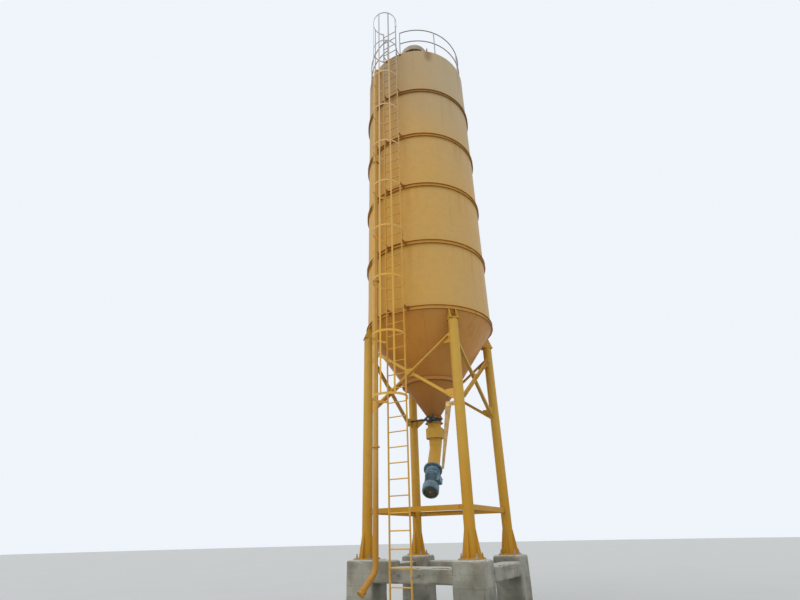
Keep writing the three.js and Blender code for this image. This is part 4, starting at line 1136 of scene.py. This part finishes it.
guardrail = Piece()
for rail in (TOP_RAIL, KNEE_RAIL):
    guardrail.take(arc_tube(RAIL_RADIUS, rail, RAIL_TUBE, FIRST_POST, 360 - FIRST_POST))
ball = [(0, -RAIL_TUBE), (0.01, -0.0145), (RAIL_TUBE, 0), (0.01, 0.0145), (0, RAIL_TUBE)]
posts = [FIRST_POST + POST_STEP * number for number in range(9)]
pads, heads = [], []
for angle in posts:
    foot, head = (around(angle, RAIL_RADIUS, height) for height in (ROOF_EDGE + 0.014, TOP_RAIL))
    guardrail.tube(foot, head, POST_TUBE)
    heads.append(at(head))
    pads.append(on_side(angle, RAIL_RADIUS, ROOF_EDGE + 0.021))
guardrail.take(lathe(ball, 12, closed=False), *heads)
guardrail.take(block(0.07, 0.07, 0.017), *pads)
frame_bolts.take(bolt(0.008), *(
    pad @ at((x * 0.026, y * 0.026, 0.008)) for pad in pads for x, y in CORNERS
))
guardrail.done("guardrail_tubes", lit_rail_paint, "frame_paint", "guardrail_right", "guardrail_left")

# %% [markdown]
# ## The filter and its rain cap
#
# A drum on the crown holds the filter that lets the air out while cement is blown in. Its casing
# has a bolted foot flange, two bands with toggle clamps and a rain cap, which is a dome with an
# upright rim. The cap stands on a post, and four stays hold its rim. Under it lies a second skin
# that is paler than the cap: painted light that lifts the deep shade there. The outlines are spun,
# as turned work is.

# %% Turn the filter
FILTER, FILTER_FLANGE = 0.34, 0.4
FILTER_FOOT, FILTER_TOP = CROWN + 0.025, 17.19
BAND_HEIGHTS = (16.24, 16.94)


def clamp_band(height):
    """One band of the casing, as outline corners from below to above."""
    inner = FILTER - 0.004
    return [
        (inner, height - 0.04), (FILTER, height - 0.03), (FILTER, height + 0.03), (inner, height + 0.04),
    ]


filter_drum = Piece().take(lathe([
    (0, CROWN), *rim(FILTER_FLANGE, CROWN, FILTER_FOOT), (FILTER - 0.004, FILTER_FOOT),
    *clamp_band(BAND_HEIGHTS[0]), *clamp_band(BAND_HEIGHTS[1]),
    (FILTER - 0.004, FILTER_TOP), (0, FILTER_TOP),
], 64, closed=False))
filter_drum.take(block(0.03, 0.014, 0.12, 0.003), *(
    on_side(angle, FILTER - 0.006, height)
    for angle in range(20, 360, 60) for height in BAND_HEIGHTS
))
filter_drum.done("filter_casing", shell_paint, "shell_paint", "filter_body")
frame_bolts.take(bolt(0.012), *(
    stand(around(step * 22.5, FILTER_FLANGE - 0.028, FILTER_FOOT), (0, 0, 1)) for step in range(16)
))

RIM_LOW, RIM_RADIUS = 17.15, 0.5
DOME_FOOT, DOME_RISE = 17.29, 0.33


def dome(inset):
    """The cap's outline from crown to rim, set in from its outer face."""
    turns = [math.radians(degrees) for degrees in range(84, -1, -6)]
    radius, rise = RIM_RADIUS - inset, DOME_RISE - inset
    return [(radius * math.cos(turn), DOME_FOOT + rise * math.sin(turn)) for turn in turns]


def dome_skin(outside, inside):
    """A skin of the cap between two insets."""
    outer = [(0, DOME_FOOT + DOME_RISE - outside), *dome(outside), (RIM_RADIUS - outside, RIM_LOW)]
    inner = [(0, DOME_FOOT + DOME_RISE - inside), *dome(inside), (RIM_RADIUS - inside, RIM_LOW)]
    return lathe([*outer, *reversed(inner)], 64, closed=False)


cap = Piece().take(dome_skin(0, 0.004))
cap.take(lathe([
    (RIM_RADIUS - 0.001, RIM_LOW + 0.03), (RIM_RADIUS - 0.001, RIM_LOW + 0.002),
    (RIM_RADIUS - 0.012, RIM_LOW), (RIM_RADIUS - 0.012, RIM_LOW + 0.03),
], 64))
cap.done("rain_cap", cap_enamel, "shell_paint", "filter_cap")
# A paler inner skin: painted light under the cap.
lining = Piece().take(dome_skin(0.005, 0.007))
lining.tube((0, 0, FILTER_TOP + 0.0003), (0, 0, DOME_FOOT + DOME_RISE - 0.03), 0.055, 24)
for angle in range(30, 360, 90):
    stay = around(angle, RIM_RADIUS - 0.012, DOME_FOOT - 0.03)
    lining.bar((0, 0, DOME_FOOT + 0.02), stay, 0.03, 0.005)
lining.done("rain_cap_lining", lit_lining_enamel, "black_paint")

# %% [markdown]
# ## The fill pipe
#
# Cement is blown up a 114 mm pipe beside the ladder. It enters the shell near the top, is held by
# a strap at each ring, and turns out near the ground to a quick coupling for the tanker's hose.
# The route is four points with rounded corners, and flanges join its lengths.

# %% Run the fill pipe
PIPE_ANGLE, PIPE_OUT, PIPE_RADIUS = -20.5, 1.77, 0.057
PIPE_OUTWARD = around(PIPE_ANGLE, 1, 0)
foot_way = (PIPE_OUTWARD - Vector((0, 0, 1))).normalized()
foot_corner = around(PIPE_ANGLE, PIPE_OUT, 1.02)
pipe_end = foot_corner + foot_way * 0.5
pipe_top = around(PIPE_ANGLE, PIPE_OUT, 15.18)
shell_entry = around(PIPE_ANGLE, SHELL_RADIUS, pipe_top.z)


fill = Piece()
fill.take(pipe(rounded([pipe_end, foot_corner, pipe_top, shell_entry], 0.12), PIPE_RADIUS, 8))
fill.take(lathe([
    (0.05, -0.1), (0.07, -0.1), (0.076, -0.094), (0.076, -0.07), (0.066, -0.062), (0.066, -0.03),
    (0.078, -0.024), (0.078, 0.0), (0.05, 0.0),
], 32), stand(pipe_end, foot_way))
fill.take(rod(0.01, 0.052, 24), stand(pipe_end - foot_way * 0.012, foot_way))
for side in (-1, 1):
    ear = foot_way.cross(PIPE_OUTWARD).normalized() * side
    ear_spot = pipe_end + ear * 0.072 - foot_way * 0.045
    fill.take(block(0.02, 0.012, 0.07, 0.003), stand(ear_spot, foot_way, ear))
fill.take(lathe(collar(PIPE_RADIUS, 0.088, -0.012, 0.012), 32), *(
    at(around(PIPE_ANGLE, PIPE_OUT, height)) for height in (3.3, 7.3, 11.2)
))
fill.take(lathe(collar(PIPE_RADIUS, 0.11, -0.001, 0.008), 32), stand(shell_entry, PIPE_OUTWARD))
for height in RING_CENTRES:
    spot = around(PIPE_ANGLE, PIPE_OUT, height)
    fill.take(lathe(collar(PIPE_RADIUS, 0.063, -0.02, 0.02), 24), at(spot))
    near = around(PIPE_ANGLE, SHELL_RADIUS + RING_REACH - 0.001, height)
    fill.bar(near, spot - PIPE_OUTWARD * PIPE_RADIUS, 0.05, 0.04)
fill.done("fill_pipe_run", pipe_paint, "frame_paint", "fill_pipe")

# %% [markdown]
# ## The discharge valve
#
# A butterfly valve is clamped between the cone's flange and the screw's inlet, and shuts the bin
# off. Its round actuator points at the ladder, where a person can reach it, with a lever arm
# to the left and a position indicator on the right. It is black, and its cap nut is white: a
# painted highlight.

# %% Assemble the valve
VALVE_LOW, VALVE_TOP = 4.01, flange_low - 0.0003
BODY, WAIST = 0.195, 0.175
LEVER_Y, INDICATOR_X = -0.2725, 0.107
stem = (VALVE_LOW + VALVE_TOP) / 2
valve = Piece().take(lathe([
    (OUTLET, VALVE_LOW), (BODY - 0.002, VALVE_LOW), (BODY, VALVE_LOW + 0.002),
    (BODY, VALVE_LOW + 0.022), (WAIST, VALVE_LOW + 0.028), (WAIST, VALVE_TOP - 0.028),
    (BODY, VALVE_TOP - 0.022), (BODY, VALVE_TOP - 0.002), (BODY - 0.002, VALVE_TOP),
    (OUTLET, VALVE_TOP),
], 64))
valve.tube((0, -0.16, stem), (0, -0.22, stem), 0.024)
valve.take(lathe([
    (0, 0), (0.06, 0), (0.066, 0.006), (0.066, 0.02), (0.075, 0.026), (0.075, 0.046), (0.07, 0.05),
    (0.07, 0.07), (0.075, 0.074), (0.075, 0.1), (0.068, 0.111), (0.03, 0.115), (0, 0.115),
], 40, closed=False), stand((0, -0.215, stem), (0, -1, 0)))
for start, end, radius in ((-0.06, -0.46, 0.02), (-0.4, -0.48, 0.028), (-0.07, -0.11, 0.028)):
    valve.tube((start, LEVER_Y, stem), (end, LEVER_Y, stem), radius)
valve.take(block(0.064, 0.06, 0.1, 0.004), at((INDICATOR_X, LEVER_Y, stem + 0.018)))
valve.take(rod(0.05, 0.022, 16, 0.016), at((INDICATOR_X, LEVER_Y, stem + 0.068)))
valve.done("butterfly_valve", black_enamel, "black_paint", "discharge_valve")
# The cap nut is white as a painted highlight.
cap_nut = Piece().take(lathe([
    (0, 0), (0.024, 0), (0.024, 0.006), (0.018, 0.012), (0, 0.0145),
], 20, closed=False), stand((0, -0.329, stem), (0, -1, 0)))
cap_nut.done("valve_cap_nut", painted_highlight_white, "bare_steel")

# %% [markdown]
# ## The screw conveyor's inlet
#
# A drum under the valve drops the cement through a short pipe into a tube that slopes up and away
# at 45 degrees, in which a screw turns. The forms are built along the screw's own axis by one
# stand matrix, with distances counted from where it crosses the silo's axis. The helical blade
# winds round the shaft, as it shows in the open end of the tube.

# %% Build the screw's tube
SCREW_TURN, SCREW_FALL = math.radians(16), math.radians(45)
SCREW_WAY = Vector((
    math.sin(SCREW_TURN) * math.cos(SCREW_FALL),
    -math.cos(SCREW_TURN) * math.cos(SCREW_FALL),
    -math.sin(SCREW_FALL),
))
SCREW_MIDDLE = Vector((0, 0, 3.42))


def on_screw(distance, facing=(0, 0, 1)):
    return stand(SCREW_MIDDLE + SCREW_WAY * distance, SCREW_WAY, facing)


TUBE, TUBE_BORE, TUBE_TOP, TUBE_FOOT = 0.137, 0.13, -0.62, 0.74
TUBE_FLANGE = 0.205
BORE_END = TUBE_FOOT - 0.06
screw = Piece()
screw.take(lathe([
    (TUBE_BORE, TUBE_TOP), (TUBE, TUBE_TOP), (TUBE, TUBE_FOOT - 0.001), (0, TUBE_FOOT - 0.001),
    (0, BORE_END), (TUBE_BORE, BORE_END),
], 64), on_screw(0))
flange = lathe([(TUBE - 0.005, 0), *rim(TUBE_FLANGE, 0, FLANGE), (TUBE - 0.005, FLANGE)], 64)
screw.take(flange, on_screw(TUBE_TOP), on_screw(TUBE_FOOT - FLANGE))
for face, way in ((TUBE_TOP + FLANGE, 1), (TUBE_FOOT - FLANGE, -1)):
    frame_bolts.take(bolt(0.014), *(
        on_screw(face) @ turned(angle) @ stand((0.174, 0, 0), (0, 0, way))
        for angle in range(0, 360, 30)
    ))
NECK_TOP = VALVE_LOW - 0.0003
NECK_BORE, NECK, SPOUT = 0.151, 0.158, 0.205
SPOUT_TOP, SPOUT_LOW, DROP_END = 3.88, 3.65, 3.46
screw.take(lathe([
    (NECK_BORE, NECK_TOP), *rim(FLANGE_RADIUS, NECK_TOP, NECK_TOP - FLANGE),
    (NECK, NECK_TOP - FLANGE), (NECK, SPOUT_TOP + 0.008), (NECK + 0.008, SPOUT_TOP),
    *rim(SPOUT, SPOUT_TOP, SPOUT_LOW, 0.003), (TUBE + 0.006, SPOUT_LOW), (TUBE, SPOUT_LOW - 0.006),
    (TUBE, DROP_END), (TUBE_BORE, DROP_END),
    (TUBE_BORE, SPOUT_LOW + 0.007), (NECK_BORE, SPOUT_LOW + 0.007),
], 64))
screw.done("screw_casing", frame_paint, "frame_paint", "screw_tube")

shaft = Piece().take(rod(BORE_END - TUBE_TOP - 0.021, 0.038, 24), on_screw(TUBE_TOP + 0.02))
BLADE_TURNS, BLADE_LENGTH = 5, 1.23
blade = bmesh.new()
inner = blade.verts.new((0.036, 0, 0))
outer = blade.verts.new((TUBE_BORE - 0.004, 0, 0))
bmesh.ops.spin(
    blade, geom=[inner, outer, blade.edges.new((inner, outer))], cent=(0, 0, 0), axis=(0, 0, 1),
    dvec=(0, 0, BLADE_LENGTH / (30 * BLADE_TURNS)), angle=math.tau * BLADE_TURNS,
    steps=30 * BLADE_TURNS,
)
bmesh.ops.solidify(blade, geom=blade.faces[:], thickness=0.004)
shaft.take(blade, on_screw(TUBE_TOP + 0.04))
shaft.done("screw_blade", zinc, "bare_steel", "screw_shaft")

# %% [markdown]
# ## Gear unit and motor
#
# A gear unit and an electric motor turn the screw from below. The housing is cast, so it is a
# turned form with stiffening ribs. The motor is cooled by long fins, which are one thin block
# copied round its body, and by a fan under a cowl. The terminal box sits on its side.

# %% Build the gear unit and the motor
GEAR_START, GEAR_END, MOTOR_END = 0.7403, 0.95, 1.44
GEAR, THROAT, GEAR_FLANGE = 0.158, 0.136, 0.203
flange_end = GEAR_START + 0.026
belly_start, belly_end = GEAR_START + 0.055, GEAR_END - 0.055
gear = Piece().take(lathe([
    (0, GEAR_START), *rim(GEAR_FLANGE, GEAR_START, flange_end, 0.003), (0.14, flange_end + 0.002),
    (THROAT, belly_start - 0.005), (GEAR - 0.003, belly_start), (GEAR, belly_start + 0.004),
    (GEAR, belly_end - 0.004), (GEAR - 0.003, belly_end), (THROAT, belly_end + 0.005),
    (THROAT, GEAR_END - 0.026), (GEAR, GEAR_END - 0.024), (GEAR, GEAR_END), (0, GEAR_END),
], 64, closed=False), on_screw(0))
gear_middle = on_screw((GEAR_START + GEAR_END) / 2)
gear.take(block(0.012, 0.035, 0.16, 0.003), *(
    gear_middle @ turned(angle) @ at((0, 0.141, 0)) for angle in range(0, 360, 45)
))
drain_plug = gear_middle @ turned(114.59) @ stand((0, 0.15, 0), (0, 1, 0))
gear.take(rod(0.02, 0.02, 6), drain_plug)
gear.take(bolt(0.014), *(
    on_screw(flange_end) @ turned(angle + 22.5) @ stand((0.18, 0, 0), (0, 0, 1))
    for angle in range(0, 360, 45)
))
gear.done("gear_unit", blue_enamel, "blue_paint", "gearbox")

MOTOR_START, COWL = GEAR_END + 0.0003, MOTOR_END - 0.17
FIN_START, FIN_END = MOTOR_START + 0.07, COWL - 0.028
SHIELD, CORE, COWL_RADIUS, GRILLE_RADIUS = 0.147, 0.132, 0.176, 0.143
motor = Piece().take(lathe([
    (0, MOTOR_START), (GEAR, MOTOR_START), (GEAR, MOTOR_START + 0.022),
    (0.134, MOTOR_START + 0.032), (0.134, MOTOR_START + 0.044), (SHIELD, MOTOR_START + 0.05),
    (SHIELD, MOTOR_START + 0.066), (CORE, FIN_START), (CORE, FIN_END - 0.002), (SHIELD, FIN_END),
    (SHIELD, COWL), (0, COWL),
], 64, closed=False), on_screw(0))
motor.take(block(0.004, 0.022, FIN_END - FIN_START, 0.001), *(
    on_screw((FIN_START + FIN_END) / 2) @ turned(angle) @ at((0, 0.139, 0))
    for angle in range(0, 360, 9)
))
terminals = on_screw(MOTOR_START + 0.175) @ turned(-76)
motor.take(block(0.14, 0.07, 0.16, 0.006), terminals @ at((0, 0.173, 0)))
motor.take(block(0.15, 0.012, 0.17, 0.003), terminals @ at((0, 0.213, 0)))
motor.take(rod(0.03, 0.016, 12), terminals @ stand((0.07, 0.17, 0.03), (1, 0, 0)))
motor.take(bolt(0.008), *(
    terminals @ stand((x * 0.062, 0.218, z * 0.07), (0, 1, 0)) for x, z in CORNERS
))
inside = COWL_RADIUS - 0.01
motor.take(lathe([
    (0.15, COWL), (COWL_RADIUS - 0.002, COWL), (COWL_RADIUS, COWL + 0.004),
    (COWL_RADIUS, MOTOR_END - 0.03), (COWL_RADIUS - 0.006, MOTOR_END - 0.008), (0.158, MOTOR_END),
    (GRILLE_RADIUS, MOTOR_END), (GRILLE_RADIUS, MOTOR_END - 0.006), (0.156, MOTOR_END - 0.007),
    (inside, MOTOR_END - 0.03), (inside, COWL + 0.006), (0.15, COWL + 0.006),
], 64), on_screw(0))
motor.done("motor_body", blue_enamel, "blue_paint", "motor")

# %% [markdown]
# ## The fan's grille
#
# The cowl's open end is closed by a grille, so that no hand reaches the fan. It is welded from
# rings of wire on four bars, and the fan's hub and disc show behind it. Each ring is a small
# four-cornered outline that is spun, which looks round enough at this size and keeps faces few.

# %% Weld the fan's grille
WIRE = 0.0025
GRILLE_FACE = on_screw(MOTOR_END - 0.005)
grille = Piece()
for radius in (0.03, 0.05, 0.07, 0.09, 0.11, 0.13, GRILLE_RADIUS):
    grille.take(lathe(collar(radius - WIRE, radius + WIRE, -WIRE, WIRE), 48), GRILLE_FACE)
grille.take(block(0.006, 0.28, 0.005, 0.001), *(
    on_screw(MOTOR_END - 0.009) @ turned(angle) for angle in (0, 45, 90, 135)
))
grille.take(rod(0.012, 0.028, 24), on_screw(MOTOR_END - 0.014))
grille.take(rod(0.01, 0.165, 48), on_screw(MOTOR_END - 0.05))
grille.done("fan_grille", grille_enamel, "black_paint")

# %% [markdown]
# ## The strut
#
# A flat strut, wider at its head, hangs the screw's heavy lower end from a small plate that is
# bolted to the nearest leg. It leans two ways at once, so three directions are worked out for
# it: along the bar, across it, and square to both. Together they place its four-cornered plate.

# %% Hang the screw's foot
sideways = Vector((math.cos(SCREW_TURN), math.sin(SCREW_TURN), 0))
strut_foot = SCREW_MIDDLE + SCREW_WAY * (TUBE_FOOT - FLANGE / 2) + sideways * 0.215
strut_head = Vector((LEG - 0.245, -LEG, 4.165))
along = strut_head - strut_foot
reach = along.length
along.normalize()
across = along.cross(around(25, 1, 0)).normalized()
strut_place = Matrix((across, along, across.cross(along))).transposed().to_4x4()
outline = [(-0.025, 0.004), (0.025, 0.004), (0.064, reach - 0.002), (-0.064, reach - 0.002)]
strut = Piece().take(plate(outline, 0.01, 0.0015), at(strut_foot) @ strut_place)
cleat_start, cleat_end = strut_head.x - 0.065, LEG - LEG_RADIUS + 0.002
cleat_middle = Vector(((cleat_start + cleat_end) / 2, -LEG, strut_head.z - 0.05))
strut.take(block(cleat_end - cleat_start, 0.01, 0.1), at(cleat_middle))
frame_bolts.take(bolt(0.016), *(
    stand(strut_head + Vector((x, -0.008, -0.05)), (0, -1, 0)) for x in (0.03, 0.08)
))
# The strut's extra-pale paint is painted light on its shaded side.
strut.done("hanger_strut", pale_lit_enamel, "frame_paint", "screw_hanger")
frame_bolts.done("frame_bolts", frame_paint, "frame_paint")
